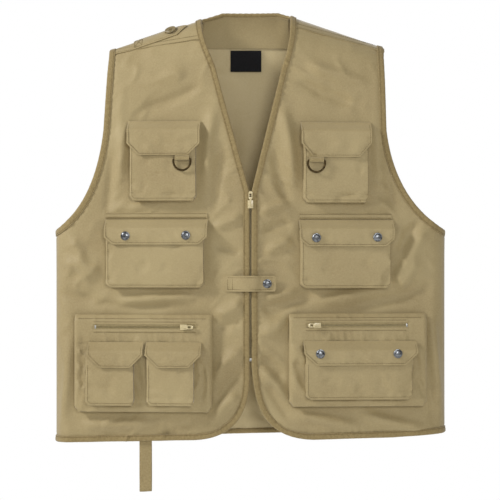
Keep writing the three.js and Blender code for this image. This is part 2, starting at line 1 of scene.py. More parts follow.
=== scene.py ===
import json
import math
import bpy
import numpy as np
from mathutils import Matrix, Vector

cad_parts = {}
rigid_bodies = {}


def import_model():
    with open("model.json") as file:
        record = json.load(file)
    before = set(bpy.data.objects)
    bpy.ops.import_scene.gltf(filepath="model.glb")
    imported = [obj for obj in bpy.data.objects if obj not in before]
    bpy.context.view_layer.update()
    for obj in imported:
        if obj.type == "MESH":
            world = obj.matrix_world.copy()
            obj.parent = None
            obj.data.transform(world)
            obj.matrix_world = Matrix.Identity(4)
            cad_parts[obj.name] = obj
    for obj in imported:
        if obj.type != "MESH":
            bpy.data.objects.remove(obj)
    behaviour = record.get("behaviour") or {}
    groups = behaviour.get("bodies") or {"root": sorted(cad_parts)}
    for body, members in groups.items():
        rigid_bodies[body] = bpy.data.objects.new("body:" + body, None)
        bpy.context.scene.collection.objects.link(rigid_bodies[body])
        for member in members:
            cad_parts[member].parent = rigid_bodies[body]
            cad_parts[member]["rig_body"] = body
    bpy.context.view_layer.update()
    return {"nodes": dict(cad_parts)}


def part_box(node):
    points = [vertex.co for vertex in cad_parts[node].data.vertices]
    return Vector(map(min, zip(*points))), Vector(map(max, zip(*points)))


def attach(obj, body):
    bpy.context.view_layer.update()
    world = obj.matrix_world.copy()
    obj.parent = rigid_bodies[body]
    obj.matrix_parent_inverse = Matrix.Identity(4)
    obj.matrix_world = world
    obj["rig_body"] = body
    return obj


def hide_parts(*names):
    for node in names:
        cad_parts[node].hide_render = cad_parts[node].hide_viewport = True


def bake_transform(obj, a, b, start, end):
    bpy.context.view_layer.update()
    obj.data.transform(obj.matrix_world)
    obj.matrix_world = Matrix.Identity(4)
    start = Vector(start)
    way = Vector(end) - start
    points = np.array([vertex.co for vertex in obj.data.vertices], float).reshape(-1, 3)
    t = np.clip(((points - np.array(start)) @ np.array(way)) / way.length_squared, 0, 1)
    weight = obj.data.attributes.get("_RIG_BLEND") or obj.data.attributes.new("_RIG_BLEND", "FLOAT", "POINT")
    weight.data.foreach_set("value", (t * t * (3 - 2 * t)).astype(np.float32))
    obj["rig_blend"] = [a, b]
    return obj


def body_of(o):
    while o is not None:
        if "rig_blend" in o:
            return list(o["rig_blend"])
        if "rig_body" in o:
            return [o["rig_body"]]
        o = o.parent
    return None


bl_info = {
    "name": "Fishing Vest",
    "version": (1, 0, 0),
    "blender": (4, 5, 0),
    "location": "3D View > Sidebar > Vest",
    "description": "Builds a khaki twill fishing vest round its packed frame",
    "category": "Add Mesh",
}

import bpy
import numpy as np
from mathutils import Matrix, Vector

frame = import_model()
MM = 0.001

# The body surface that the cloth is cut to, in millimetres, as the frame's solids are.
CAD_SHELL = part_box("back_panel")
HALF_CHEST = CAD_SHELL[1][0] / MM  # centre line to side seam
BACK_DEPTH = CAD_SHELL[1][1] / MM  # side seams to the back
FRONT_DEPTH = 52.0  # side seams to the middle of the front
FRONT_TURN = math.radians(4.23)  # each front falls back by this towards its side
SIDE_ROUND = 30.0  # width of the rounding at each side seam
SIDE_START = HALF_CHEST - SIDE_ROUND
SHOULDER_SLOPE = 0.342
SHOULDER_FLAT = 45.0
SHOULDER_CURVE = 70.0
SHOULDER_WALK = 56.0  # millimetres walked over the shoulder for each radian
NECK_RISE = 7.0
NECK_RIGHT = -80.0
NECK_LEFT = 65.0
NECK_SCOOP = 15.0
BINDING = 10.0
ZIP_FOOT = -569.0
BLEND_TOP = -0.075  # metres; above this the fronts stay with the shoulders
BLEND_END = -0.178


# ---------------------------------------------------------------- surface


def shoulder_line(x):
    middle, reach = (NECK_RIGHT + NECK_LEFT) / 2, (NECK_LEFT - NECK_RIGHT) / 2
    rise = NECK_RISE * np.maximum(0, 1 - ((x - middle) / reach) ** 2)
    return rise - SHOULDER_SLOPE * np.maximum(0, np.abs(x) - SHOULDER_FLAT)


def unroll(x):
    """Width measured along the cloth round the side seams' rounding."""
    past = np.clip((np.abs(x) - SIDE_START) / SIDE_ROUND, 0, 1)
    return np.sign(x) * (np.minimum(np.abs(x), SIDE_START) + SIDE_ROUND * np.arcsin(past))


def roll(u):
    """The width in x of a place at the unrolled width u."""
    past = np.clip((np.abs(u) - SIDE_START) / SIDE_ROUND, 0, math.pi / 2)
    return np.sign(u) * (np.minimum(np.abs(u), SIDE_START) + SIDE_ROUND * np.sin(past))


def walk(x, z, back):
    """How far (x, z) lies down from the shoulder line along the cloth, negative in front."""
    foot = shoulder_line(x) - SHOULDER_CURVE
    rise = np.clip((z - foot) / SHOULDER_CURVE, 0, 1)
    down = SHOULDER_WALK * (math.pi / 2 - np.arcsin(rise)) + np.maximum(0, foot - z)
    return down if back else -down


def surface(u, v, off=0.0):
    """Points of the body surface at unrolled width u and walk v, moved out by off."""
    u, v = np.broadcast_arrays(np.asarray(u, float), np.asarray(v, float))
    x = roll(u)
    side = np.sign(x)
    t = np.clip((np.abs(x) - SIDE_START) / SIDE_ROUND, 0, 1)
    ct = np.sqrt(1 - t * t)
    flat = np.minimum(np.abs(x), SIDE_START)
    depth = np.where(v < 0, FRONT_DEPTH - math.tan(FRONT_TURN) * flat, BACK_DEPTH)
    fall = np.where((v < 0) & (np.abs(x) < SIDE_START), -math.tan(FRONT_TURN) * side, 0)
    angle = np.clip(math.pi / 2 - np.abs(v) / SHOULDER_WALK, 0, math.pi / 2)
    ca, sa = np.cos(angle), np.sin(angle)
    line = shoulder_line(x)
    lean = (shoulder_line(x + 0.5) - shoulder_line(x - 0.5))
    z = line - SHOULDER_CURVE + SHOULDER_CURVE * sa
    z = z - np.maximum(0, np.abs(v) - SHOULDER_WALK * math.pi / 2)
    y = -depth * ct * ca
    nx = (-fall * ct**2 * ca**2 + depth * t * side / SIDE_ROUND * ca**2
          - depth * ct**2 * sa * lean / SHOULDER_CURVE)
    ny = -ct * ca
    nz = depth * ct**2 * sa / SHOULDER_CURVE
    behind = v > 0
    y, ny = np.where(behind, -y, y), np.where(behind, -ny, ny)
    n = np.stack([nx, ny, nz], -1)
    n /= np.maximum(np.linalg.norm(n, axis=-1, keepdims=True), 1e-9)
    return np.stack([x, y, z], -1) + n * np.asarray(off)[..., None], n


def front_frame(points, side):
    """Points of a front's own frame, with y = 0 on its cloth, placed in the vest's frame.

    Side 0 is the middle of the front, which doesn't turn."""
    c, s = math.cos(FRONT_TURN * side), math.sin(FRONT_TURN * side)
    p = np.asarray(points, float)
    x = p[..., 0] * c - p[..., 1] * s
    y = p[..., 0] * s + p[..., 1] * c - FRONT_DEPTH
    return np.stack([x, y, p[..., 2]], -1)


def own_box(node, side):
    """A CAD node's lowest and highest corners in its front's own frame, in millimetres."""
    mesh = frame["nodes"][node].data
    co = np.array([v.co for v in mesh.vertices]) / MM
    c, s = math.cos(FRONT_TURN * side), math.sin(FRONT_TURN * side)
    y = co[:, 1] + FRONT_DEPTH
    own = np.stack([co[:, 0] * c + y * s, -co[:, 0] * s + y * c, co[:, 2]], -1)
    return own.min(0), own.max(0)


# ---------------------------------------------------------------- drape


def waves(x, z, size, seed, stretch=(1.0, 1.0)):
    """Smooth unevenness between about -1 and 1, with humps of the given size."""
    draw = np.random.RandomState(seed)
    total = 0
    for _ in range(9):
        heading, phase = draw.uniform(0, 2 * math.pi, 2)
        rate = 2 * math.pi / (size * draw.uniform(0.75, 1.9))
        run = x * math.cos(heading) / stretch[0] + z * math.sin(heading) / stretch[1]
        total = total + np.sin(run * rate + phase)
    return total / 4.2


FOLD_DEPTH = 3.0


def fold(x, z, start, end, width, height, bow=0.0):
    """A soft ridge (or a valley, for a negative height) from start to end."""
    height = height * FOLD_DEPTH
    a, b = np.array(start, float), np.array(end, float)
    run = b - a
    length = np.linalg.norm(run)
    ux, uz = run / length
    along = ((x - a[0]) * ux + (z - a[1]) * uz) / length
    off = -(x - a[0]) * uz + (z - a[1]) * ux - bow * np.sin(math.pi * np.clip(along, 0, 1))
    taper = np.clip(along * 4, 0, 1) * np.clip((1 - along) * 3, 0, 1)
    taper = taper * taper * (3 - 2 * taper)
    lean = 1 + 0.5 * np.tanh(off / width)
    return height * taper * lean * np.exp(-((off / width) ** 2))


def nearest(points, line):
    """Distance from each point to a polyline, and how far along it the nearest place is."""
    a, b = line[:-1], line[1:]
    run = b - a
    length = np.maximum(np.linalg.norm(run, axis=1), 1e-9)
    starts = np.concatenate([[0], np.cumsum(length)[:-1]])
    best = np.full(len(points), 1e9)
    where = np.zeros(len(points))
    place = np.zeros((len(points), 2))
    for i in range(len(a)):
        t = np.clip(((points - a[i]) @ run[i]) / length[i] ** 2, 0, 1)
        hit = a[i] + t[:, None] * run[i]
        d = np.linalg.norm(points - hit, axis=1)
        closer = d < best
        best = np.where(closer, d, best)
        where = np.where(closer, starts[i] + t * length[i], where)
        place[closer] = hit[closer]
    return best, where, place


def pucker(distance, along, seed, height=1.5, pitch=10.5, reach=19.0):
    """The small gathers that a taped edge draws into the cloth beside it."""
    draw = np.random.RandomState(seed)
    phase, drift = draw.uniform(0, 6, 2)
    wander = 2.2 * np.sin(along / 37 + drift) + 1.4 * np.sin(along / 17 + phase)
    strength = 0.55 + 0.45 * np.sin(along / 61 + 2 * drift)
    crest = np.sin(2 * math.pi * along / pitch + wander)
    return height * strength * crest * np.exp(-distance / reach)


def gap(x, z, box):
    """How far a place lies outside a box, 0 when it is within."""
    (x0, z0), (x1, z1) = box
    dx = np.maximum(np.maximum(x0 - x, x - x1), 0)
    dz = np.maximum(np.maximum(z0 - z, z - z1), 0)
    return np.hypot(dx, dz)


def around(x, z, box, reach, height):
    """The pull of a pocket's stitching on the cloth just outside it."""
    return -height * np.exp(-gap(x, z, box) / reach)


RIGHT_FOLDS = [
    ((-100, -95), (-215, -140), 9, 2.6, 3), ((-75, -118), (-190, -166), 8, -1.8, 4),
    ((-60, -150), (-78, -300), 10, 2.4, -3), ((-45, -215), (-66, -335), 8, -2.0, 2),
    ((-205, -120), (-216, -300), 9, 2.6, 4), ((-228, -225), (-236, -340), 7, -2.0, 2),
    ((-60, -305), (-240, -322), 8, 2.0, -3), ((-12, -330), (-66, -352), 7, 2.2, 2),
    ((-12, -395), (-64, -372), 6, -1.5, 2), ((-12, -468), (-62, -492), 8, 3.0, 5),
    ((-14, -500), (-60, -512), 6, -1.6, 3), ((-12, -545), (-66, -600), 9, 3.4, -4),
    ((-12, -578), (-58, -640), 8, -2.8, -4), ((-16, -618), (-70, -668), 9, 3.2, -4),
    ((-240, -420), (-308, -400), 10, 2.4, 4), ((-250, -470), (-312, -452), 9, -2.0, 3),
    ((-80, -462), (-240, -478), 9, 2.6, -4), ((-110, -480), (-280, -470), 7, -1.6, 3),
    ((-292, -520), (-312, -690), 9, 2.8, 3), ((-150, -662), (-292, -672), 8, 2.2, 3),
    ((-90, -668), (-160, -690), 7, -1.6, 2), ((-296, -360), (-262, -460), 9, 2.2, 4),
]
LEFT_FOLDS = [
    ((85, -85), (200, -128), 9, 2.6, -3), ((70, -112), (185, -160), 8, -1.8, -4),
    ((48, -150), (70, -300), 10, 2.6, 3), ((34, -215), (62, -330), 8, -2.0, -2),
    ((200, -110), (212, -300), 10, 3.0, -4), ((214, -215), (236, -335), 8, -2.4, -2),
    ((14, -330), (70, -312), 7, 2.0, 2), ((16, -362), (72, -345), 7, -1.8, 2),
    ((22, -398), (74, -372), 8, 2.2, 3), ((80, -318), (240, -322), 8, 2.0, 3),
    ((16, -492), (118, -447), 12, -3.6, -5), ((18, -470), (92, -452), 9, 2.6, -3),
    ((14, -528), (84, -478), 10, 3.4, -5), ((100, -480), (296, -402), 12, 3.8, -8),
    ((150, -486), (302, -440), 10, -3.0, -6), ((240, -470), (300, -330), 11, 3.4, 6),
    ((236, -400), (286, -330), 8, -2.2, 3), ((12, -560), (58, -606), 8, -3.2, 4),
    ((12, -580), (60, -640), 9, 3.0, 4), ((22, -600), (64, -668), 8, -2.6, 3),
    ((60, -650), (190, -676), 8, 2.4, -4), ((170, -650), (300, -684), 9, 2.8, -4),
    ((290, -480), (312, -660), 10, 3.0, -4), ((286, -540), (300, -690), 7, -2.0, -3),
]
BACK_FOLDS = [
    ((-60, -60), (-210, -130), 12, 3.0, 4), ((60, -55), (205, -125), 12, 3.0, -4),
    ((-190, -150), (-130, -420), 18, 4.0, 8), ((190, -150), (140, -430), 18, 4.0, -8),
    ((-40, -140), (-70, -520), 20, 3.4, 10), ((50, -150), (60, -560), 20, 3.4, -10),
    ((-290, -380), (-160, -460), 14, 3.6, 6), ((290, -380), (170, -470), 14, 3.6, -6),
    ((-300, -430), (-190, -560), 13, -3.0, 5), ((300, -430), (200, -570), 13, -3.0, -5),
    ((-250, -500), (-230, -690), 16, 4.0, 4), ((250, -500), (236, -690), 16, 4.0, -4),
    ((-120, -520), (-140, -690), 16, 3.4, 4), ((110, -520), (130, -690), 16, 3.4, -4),
    ((0, -420), (-6, -690), 18, 3.0, 5), ((-160, -90), (0, -116), 10, -2.0, 3),
]


def pocket_boxes(side):
    """The outlines of a front's pockets in its own frame, up to the tops of their flaps."""
    names = {
        -1: ["right_chest_pocket", "right_waist_pocket", "right_lower_pocket"],
        1: ["left_chest_pocket", "left_waist_pocket", "left_lower_pocket"],
    }[side]
    boxes = []
    for name in names:
        low, high = own_box(name, side)
        top = high[2] + (14 if "lower" not in name else 0)
        boxes.append(((low[0], low[2]), (high[0], top)))
    return boxes


POCKET_BOXES = {"right": pocket_boxes(-1), "left": pocket_boxes(1)}


def lifted_box(part, side):
    """The stretch of cloth above a chest pocket that its flap comes near when it is lifted."""
    low, high = own_box(f"{part}_chest_flap", side)
    return (low[0], high[2]), (high[0], 2 * high[2] - low[2])


LIFTED_BOXES = {"right": lifted_box("right", -1), "left": lifted_box("left", 1)}
LIFTED_FOLD = 1.0  # how far the cloth may stand out under a lifted flap


def drape(x, z, part):
    """How far the cloth of a part stands out from the body surface, in millimetres."""
    folds = {"right": RIGHT_FOLDS, "left": LEFT_FOLDS, "back": BACK_FOLDS}[part]
    seed = {"right": 3, "left": 8, "back": 21}[part]
    out = 1.1 * waves(x, z, 95, seed) + 0.55 * waves(x, z, 38, seed + 1, (1, 1.5))
    out = out + 0.22 * waves(x, z, 15, seed + 2)
    for start, end, width, height, bow in folds:
        out = out + fold(x, z, start, end, width, height, bow)
    lean = {"right": (x + 0.5 * z, z - 0.5 * x), "left": (x - 0.5 * z, z + 0.5 * x),
            "back": (x, z)}[part]
    ridge = np.clip(1 - 1.9 * np.abs(waves(*lean, 48, seed + 5, (1.9, 0.8))), 0, 1) ** 2
    patch = np.clip(0.5 + 0.8 * waves(x, z, 130, seed + 6), 0, 1)
    out = out + 2.8 * ridge * patch
    if part != "back":
        for box in POCKET_BOXES[part]:
            out = out * (0.12 + 0.88 * np.clip(gap(x, z, box) / 17, 0, 1))
        for box in POCKET_BOXES[part]:
            out = out + around(x, z, box, 9.0, 1.0)
        out = np.minimum(out, LIFTED_FOLD + 0.25 * gap(x, z, LIFTED_BOXES[part]))
    lines = ([e["back_armhole"] for e in EDGES.values()] if part == "back"
             else [EDGES[part]["armhole"]])
    for line in lines:
        near = nearest(np.stack([x, z], -1), resample(line, 12))[0]
        out = out * (0.15 + 0.85 * np.clip((near - BINDING) / 26, 0, 1))
    rim = np.clip((HALF_CHEST - np.abs(x)) / 22, 0, 1)
    seam = np.clip((-z - 20) / 70, 0, 1)
    return np.clip(out, -4.5, 8.5) * rim * seam


# ---------------------------------------------------------------- outlines


def bezier(a, b, c, d, count=18):
    t = np.linspace(0, 1, count + 1)[1:, None]
    a, b, c, d = (np.array(p, float) for p in (a, b, c, d))
    return (1 - t) ** 3 * a + 3 * (1 - t) ** 2 * t * b + 3 * (1 - t) * t**2 * c + t**3 * d


def path(start, *stretches):
    """A polyline of straight (two numbers) and curved (six numbers) stretches."""
    points = [np.array([start], float)]
    for s in stretches:
        last = points[-1][-1]
        if len(s) == 2:
            points.append(np.array([s], float))
        else:
            points.append(bezier(last, s[0:2], s[2:4], s[4:6]))
    return np.concatenate(points)


def distances(line):
    """How far along a polyline each of its points lies."""
    return np.concatenate([[0], np.cumsum(np.linalg.norm(np.diff(line, axis=0), axis=1))])


def points_along(rows, run, at):
    """Rows given at the distances run, read off at other distances."""
    return np.stack([np.interp(at, run, rows[:, k]) for k in range(3)], -1)


def unit(rows):
    return rows / np.maximum(np.linalg.norm(rows, axis=1, keepdims=True), 1e-9)


def resample(line, step):
    """The same polyline with points about step apart."""
    run = distances(line)
    count = max(2, int(round(run[-1] / step)) + 1)
    at = np.linspace(0, run[-1], count)
    return np.stack([np.interp(at, run, line[:, k]) for k in range(line.shape[1])], -1)


EDGES = {
    "right": {
        "side": -1,
        "front": path((NECK_RIGHT, -11), (-80, -45, -66, -70, -58, -91), (-2, -295), (-2, -600),
                      (-4, -655, -28, -692, -90, -695.5), (-HALF_CHEST, -701)),
        "armhole": path((-229.2, -63.2), (-238, -195),
                        (-246, -262, -268, -325, -HALF_CHEST, -357)),
        "seam": ((NECK_RIGHT, -50), (-230, -72)),
        "back_armhole": path((-231, -64), (-238, -195),
                             (-246, -262, -268, -325, -HALF_CHEST, -357)),
        "hem": -701.0,
    },
    "left": {
        "side": 1,
        "front": path((NECK_LEFT, -8), (66, -45, 60, -70, 52, -92), (2, -295), (2, ZIP_FOOT),
                      (6, -640, 20, -692, 102, -695), (231, -692), (HALF_CHEST, -686)),
        "armhole": path((215.8, -58.7), (220, -195), (228, -262, 258, -325, HALF_CHEST, -357)),
        "seam": ((NECK_LEFT, -28), (218, -67)),
        "back_armhole": path((219, -60), (224, -195), (232, -262, 262, -325, HALF_CHEST, -357)),
        "hem": -686.0,
    },
}


def scoop(count=28):
    """The back neck's edge from the right to the left neck point, as width and walk."""
    middle, reach = (NECK_RIGHT + NECK_LEFT) / 2, (NECK_LEFT - NECK_RIGHT) / 2
    turn = np.linspace(math.pi, 0, count)
    x = middle + reach * np.cos(turn)
    return np.stack([x, SHOULDER_WALK * np.arcsin(NECK_SCOOP * np.sin(turn) / BACK_DEPTH)], -1)


def walked(line, back):
    """A line in width and height as unrolled width and walk."""
    return np.stack([unroll(line[:, 0]), walk(line[:, 0], line[:, 1], back)], -1)




def seam_height(part, x):
    (x0, z0), (x1, z1) = EDGES[part]["seam"]
    return z0 + (z1 - z0) * (x - x0) / (x1 - x0)


def front_outline(part, tuck=7.0):
    """A front's outline, which runs a little way up under the yoke's seam."""
    e = EDGES[part]
    edge, arm = resample(e["front"], 4), resample(e["armhole"], 4)
    edge = edge[edge[:, 1] < seam_height(part, edge[:, 0]) + tuck]
    arm = arm[arm[:, 1] < seam_height(part, arm[:, 0]) + tuck]
    side = resample(np.array([edge[-1], arm[-1]]), 4)[1:-1]
    return walked(np.concatenate([edge, side, arm[::-1]]), False)


def neck_piece(part):
    """The yoke's share of the front neck edge, from the shoulder down to the seam."""
    edge = resample(EDGES[part]["front"], 3)
    return walked(edge[edge[:, 1] >= seam_height(part, edge[:, 0])], False)


def back_outline():
    right, left = EDGES["right"], EDGES["left"]
    up = walked(resample(right["back_armhole"], 4), True)[::-1]
    down = walked(resample(left["back_armhole"], 4), True)
    neck_right, neck_left = neck_piece("right")[::-1], neck_piece("left")
    seam_right = np.linspace((unroll(-230.0), walk(-230.0, -72.0, False)), neck_right[0], 40)
    seam_left = np.linspace(neck_left[-1], (unroll(218.0), walk(218.0, -67.0, False)), 40)
    rim = [(HALF_CHEST, left["hem"]), (0, -692), (-HALF_CHEST, right["hem"])]
    hem = walked(resample(np.array(rim, float), 5), True)
    return np.concatenate([up, seam_right, neck_right, scoop(), neck_left, seam_left, down, hem])


# ---------------------------------------------------------------- meshes


def deselect():
    if bpy.context.mode != "OBJECT":
        bpy.ops.object.mode_set(mode="OBJECT")
    bpy.ops.object.select_all(action="DESELECT")


def activate(obj):
    deselect()
    obj.select_set(True)
    bpy.context.view_layer.objects.active = obj
    return obj


def add_mesh(name, points, faces):
    """A new object from points in millimetres."""
    mesh = bpy.data.meshes.new(name)
    mesh.from_pydata((np.asarray(points) * MM).tolist(), [], [list(map(int, f)) for f in faces])
    mesh.validate()
    obj = bpy.data.objects.new(name, mesh)
    bpy.context.scene.collection.objects.link(obj)
    return activate(obj)


def apply_modifier(obj, kind, **settings):
    activate(obj)
    modifier = obj.modifiers.new(kind.title(), kind)
    for key, value in settings.items():
        setattr(modifier, key, value)
    bpy.ops.object.modifier_apply(modifier=modifier.name)


def thicken(obj, thickness, offset=-1.0):
    """Gives an open sheet its thickness in millimetres, inwards from its outside."""
    apply_modifier(obj, "SOLIDIFY", thickness=thickness * MM, offset=offset, use_even_offset=False)


def outward(obj):
    activate(obj)
    bpy.ops.object.mode_set(mode="EDIT")
    bpy.ops.mesh.select_all(action="SELECT")
    bpy.ops.mesh.normals_make_consistent(inside=False)
    bpy.ops.object.mode_set(mode="OBJECT")


def smooth(obj, degrees=50):
    activate(obj)
    bpy.ops.object.shade_smooth_by_angle(angle=math.radians(degrees))


def settle(obj, body, slot, material, *nodes, across=False, cut=None, held="stretched",
           area=None, rests_on=()):
    """Gives a finished piece its material and its body, and hides the CAD nodes that it stands for.

    cut is the flat width and length of a cloth piece in millimetres; it is not used."""
    obj.data.materials.clear()
    obj.data.materials.append(material)
    if across:
        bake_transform(obj, "back", body, start=(0, 0, BLEND_TOP), end=(0, 0, BLEND_END))
    else:
        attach(obj, body)
    if nodes:
        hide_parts(*nodes)
    return obj


def line_inside(obj):
    """Gives the faces that look into the vest the cloth's wrong side, drawn paler as painted light to offset
    the shade inside the vest.
    """
    obj.data.materials.append(MATERIALS["reverse"])
    for face in obj.data.polygons:
        if abs(face.normal.y) > 0.2 and face.normal.y * face.center.y < 0:
            face.material_index = 1


def inside_outline(points, ring):
    """Which points lie inside a closed outline."""
    x, y = points[:, 0], points[:, 1]
    result = np.zeros(len(points), bool)
    for (x0, y0), (x1, y1) in zip(ring, np.roll(ring, -1, axis=0)):
        if y0 == y1:
            continue
        crosses = (y0 > y) != (y1 > y)
        result ^= crosses & (x < (x1 - x0) * (y - y0) / (y1 - y0) + x0)
    return result


def trimmed_grid(ring, step):
    """A square grid cut to an outline: its points, and its faces."""
    low, high = ring.min(0) - step, ring.max(0) + step
    xs = np.arange(low[0], high[0], step)
    ys = np.arange(low[1], high[1], step)
    gx, gy = np.meshgrid(xs, ys, indexing="ij")
    points = np.stack([gx.ravel(), gy.ravel()], -1)
    inside = inside_outline(points, ring)
    index = np.arange(len(points)).reshape(gx.shape)
    quads = np.stack([index[:-1, :-1], index[1:, :-1], index[1:, 1:], index[:-1, 1:]], -1)
    quads = quads.reshape(-1, 4)
    quads = quads[inside[quads].any(1)]
    used = np.unique(quads)
    outside = used[~inside[used]]
    closed = np.concatenate([ring, ring[:1]])
    points[outside] = nearest(points[outside], closed)[2]
    fresh = np.full(len(points), -1)
    fresh[used] = np.arange(len(used))
    return points[used], fresh[quads]


def shell_sheet(name, ring, step, part, lift=0.0, calm=None):
    """Cloth cut to an outline in width and walk, laid on the body surface with its drape."""
    points, quads = trimmed_grid(ring, step)
    flat, _ = surface(points[:, 0], points[:, 1])
    out = np.zeros(len(points))
    behind = points[:, 1] > 0
    if part == "back":
        out[behind] = drape(flat[behind, 0], flat[behind, 2], "back")
    else:
        out = drape(flat[:, 0], flat[:, 2], part)
    if calm is not None:
        out = out + calm(flat, points)
    placed, _ = surface(points[:, 0], points[:, 1], out + lift)
    obj = add_mesh(name, placed, quads)
    outward_by_surface(obj, points)
    return obj


def outward_by_surface(obj, points):
    """Turns every face of an open sheet to the outside of the body."""
    mesh = obj.data
    face = mesh.polygons[len(mesh.polygons) // 2]
    v = face.vertices[0]
    _, normal = surface(points[v, 0], points[v, 1])
    if Vector(normal.tolist()).dot(face.normal) < 0:
        mesh.flip_normals()


def edge_gathers(line, seed, height=1.6, reach=20.0):
    """A drape made of the gathers along one taped edge, in width and height."""
    dense = resample(line, 6)
    def gathers(flat, _points):
        distance, along, _ = nearest(flat[:, [0, 2]], dense)
        sunk = 1.1 * np.clip((BINDING + 1.5 - distance) / 3, 0, 1)
        clear = np.clip((distance - BINDING + 2) / 3, 0, 1)
        far = np.maximum(distance - BINDING, 0)
        return clear * pucker(far, along, seed, height, reach=reach) - sunk
    return gathers


def swept_band(name, centre, inward, normal, section):
    """A closed strip along a line: section gives (inwards, outwards) in millimetres."""
    rows = []
    for across, out in section:
        rows.append(centre + inward * across + normal * out)
    grid = np.stack(rows, 1)
    count, ring = grid.shape[:2]
    faces = []
    for i in range(count - 1):
        for j in range(ring):
            k = (j + 1) % ring
            faces.append((i * ring + j, (i + 1) * ring + j, (i + 1) * ring + k, i * ring + k))
    faces.append(list(range(ring)))
    faces.append(list(range((count - 1) * ring, count * ring))[::-1])
    obj = add_mesh(name, grid.reshape(-1, 3), faces)
    outward(obj)
    smooth(obj, 60)
    return obj


TAPE_SECTION = [(BINDING, 0.2), (BINDING - 0.5, 1.3), (BINDING - 2.2, 1.05), (BINDING / 2, 1.7),
                (1.4, 1.75), (0.0, 1.2), (-0.6, 0.0), (-0.4, -1.4), (1.0, -2.4),
                (BINDING / 2, -2.6), (BINDING - 1.0, -2.5), (BINDING, -1.6)]


def bound_edge(name, line, part, back=False, seed=5, turn=1, width=BINDING, walked_line=False):
    """Binding tape folded over a cloth edge, with the small bumps that its stitches make."""
    dense = resample(line, 2.6)
    plan = dense if walked_line else walked(dense, back)
    run = np.gradient(plan, axis=0)
    run /= np.linalg.norm(run, axis=1, keepdims=True)
    inwards = np.stack([run[:, 1], -run[:, 0]], -1) * turn
    along = distances(plan)
    scale = width / BINDING
    inner_plan = plan + inwards * 4
    flat, _ = surface(plan[:, 0], plan[:, 1])
    waviness = 0.35 * np.sin(2 * math.pi * along / 9.5 + 2 * np.sin(along / 31 + seed))
    base = np.zeros(len(plan))
    visible = plan[:, 1] > 0 if part == "back" else np.ones(len(plan), bool)
    where, _ = surface(inner_plan[:, 0], inner_plan[:, 1])
    base[visible] = drape(where[visible, 0], where[visible, 2], part)
    if part != "back":
        rise = flat[:, 2] - seam_height(part, flat[:, 0])
        base = base + 1.0 * np.clip((rise + 4) / 6, 0, 1)
    centre, normal = surface(plan[:, 0], plan[:, 1], base + waviness)
    tip, _ = surface(inner_plan[:, 0], inner_plan[:, 1], base + waviness)
    inward = tip - centre
    inward = unit(inward)
    section = [(a * scale, b) for a, b in TAPE_SECTION]
    obj = swept_band(name, centre, inward, normal, section)
    stitch_line = centre + inward * (width - 2.2) + normal * 1.35
    return obj, stitch_line, normal


def stitches(name, lines, pitch=3.4, length=2.6, thick=0.7):
    """Thread stitches along lines; each line is (points, normals) in millimetres."""
    points, faces = [], []
    for line, normal in lines:
        run = distances(line)
        at = np.arange(pitch / 2, run[-1] - pitch / 2, pitch)
        if not len(at):
            continue
        a, b = (points_along(line, run, at + shift) for shift in (-length / 2, length / 2))
        n = unit(points_along(normal, run, at))
        side = unit(np.cross(b - a, n))
        half = thick / 2
        for k in range(len(at)):
            first = len(points)
            for end in (a[k], b[k]):
                points += [end + side[k] * half, end + n[k] * half, end - side[k] * half,
                           end - n[k] * half]
            for j in range(4):
                m = (j + 1) % 4
                faces.append((first + j, first + m, first + 4 + m, first + 4 + j))
            faces.append((first + 3, first + 2, first + 1, first))
            faces.append((first + 4, first + 5, first + 6, first + 7))
    return add_mesh(name, points, faces)


# ---------------------------------------------------------------- pocket pieces


def grid_faces(rows, columns, closed=False):
    """Quads of a grid stored row by row; closed joins each row's ends."""
    faces = []
    for i in range(rows - 1):
        for j in range(columns if closed else columns - 1):
            k = (j + 1) % columns
            faces.append((i * columns + j, i * columns + k, (i + 1) * columns + k,
                          (i + 1) * columns + j))
    return faces


def rim_loop(rows, columns):
    """The places round the edge of a grid stored row by row, in order."""
    loop = list(range(columns)) + [i * columns + columns - 1 for i in range(1, rows)]
    loop += [(rows - 1) * columns + j for j in range(columns - 2, -1, -1)]
    return loop + [i * columns for i in range(rows - 2, 0, -1)]


def ring_faces(one, other):
    """Quads between two closed rings with as many points each."""
    count = len(one)
    return [(one[k], other[k], other[(k + 1) % count], one[(k + 1) % count])
            for k in range(count)]


GUSSET_FOLD = 7.5  # how far a bag's gusset shows beyond its face, on the wearer's left of it
FLAP_STITCHES = 2.9  # topstitching's distance from a flap's edge


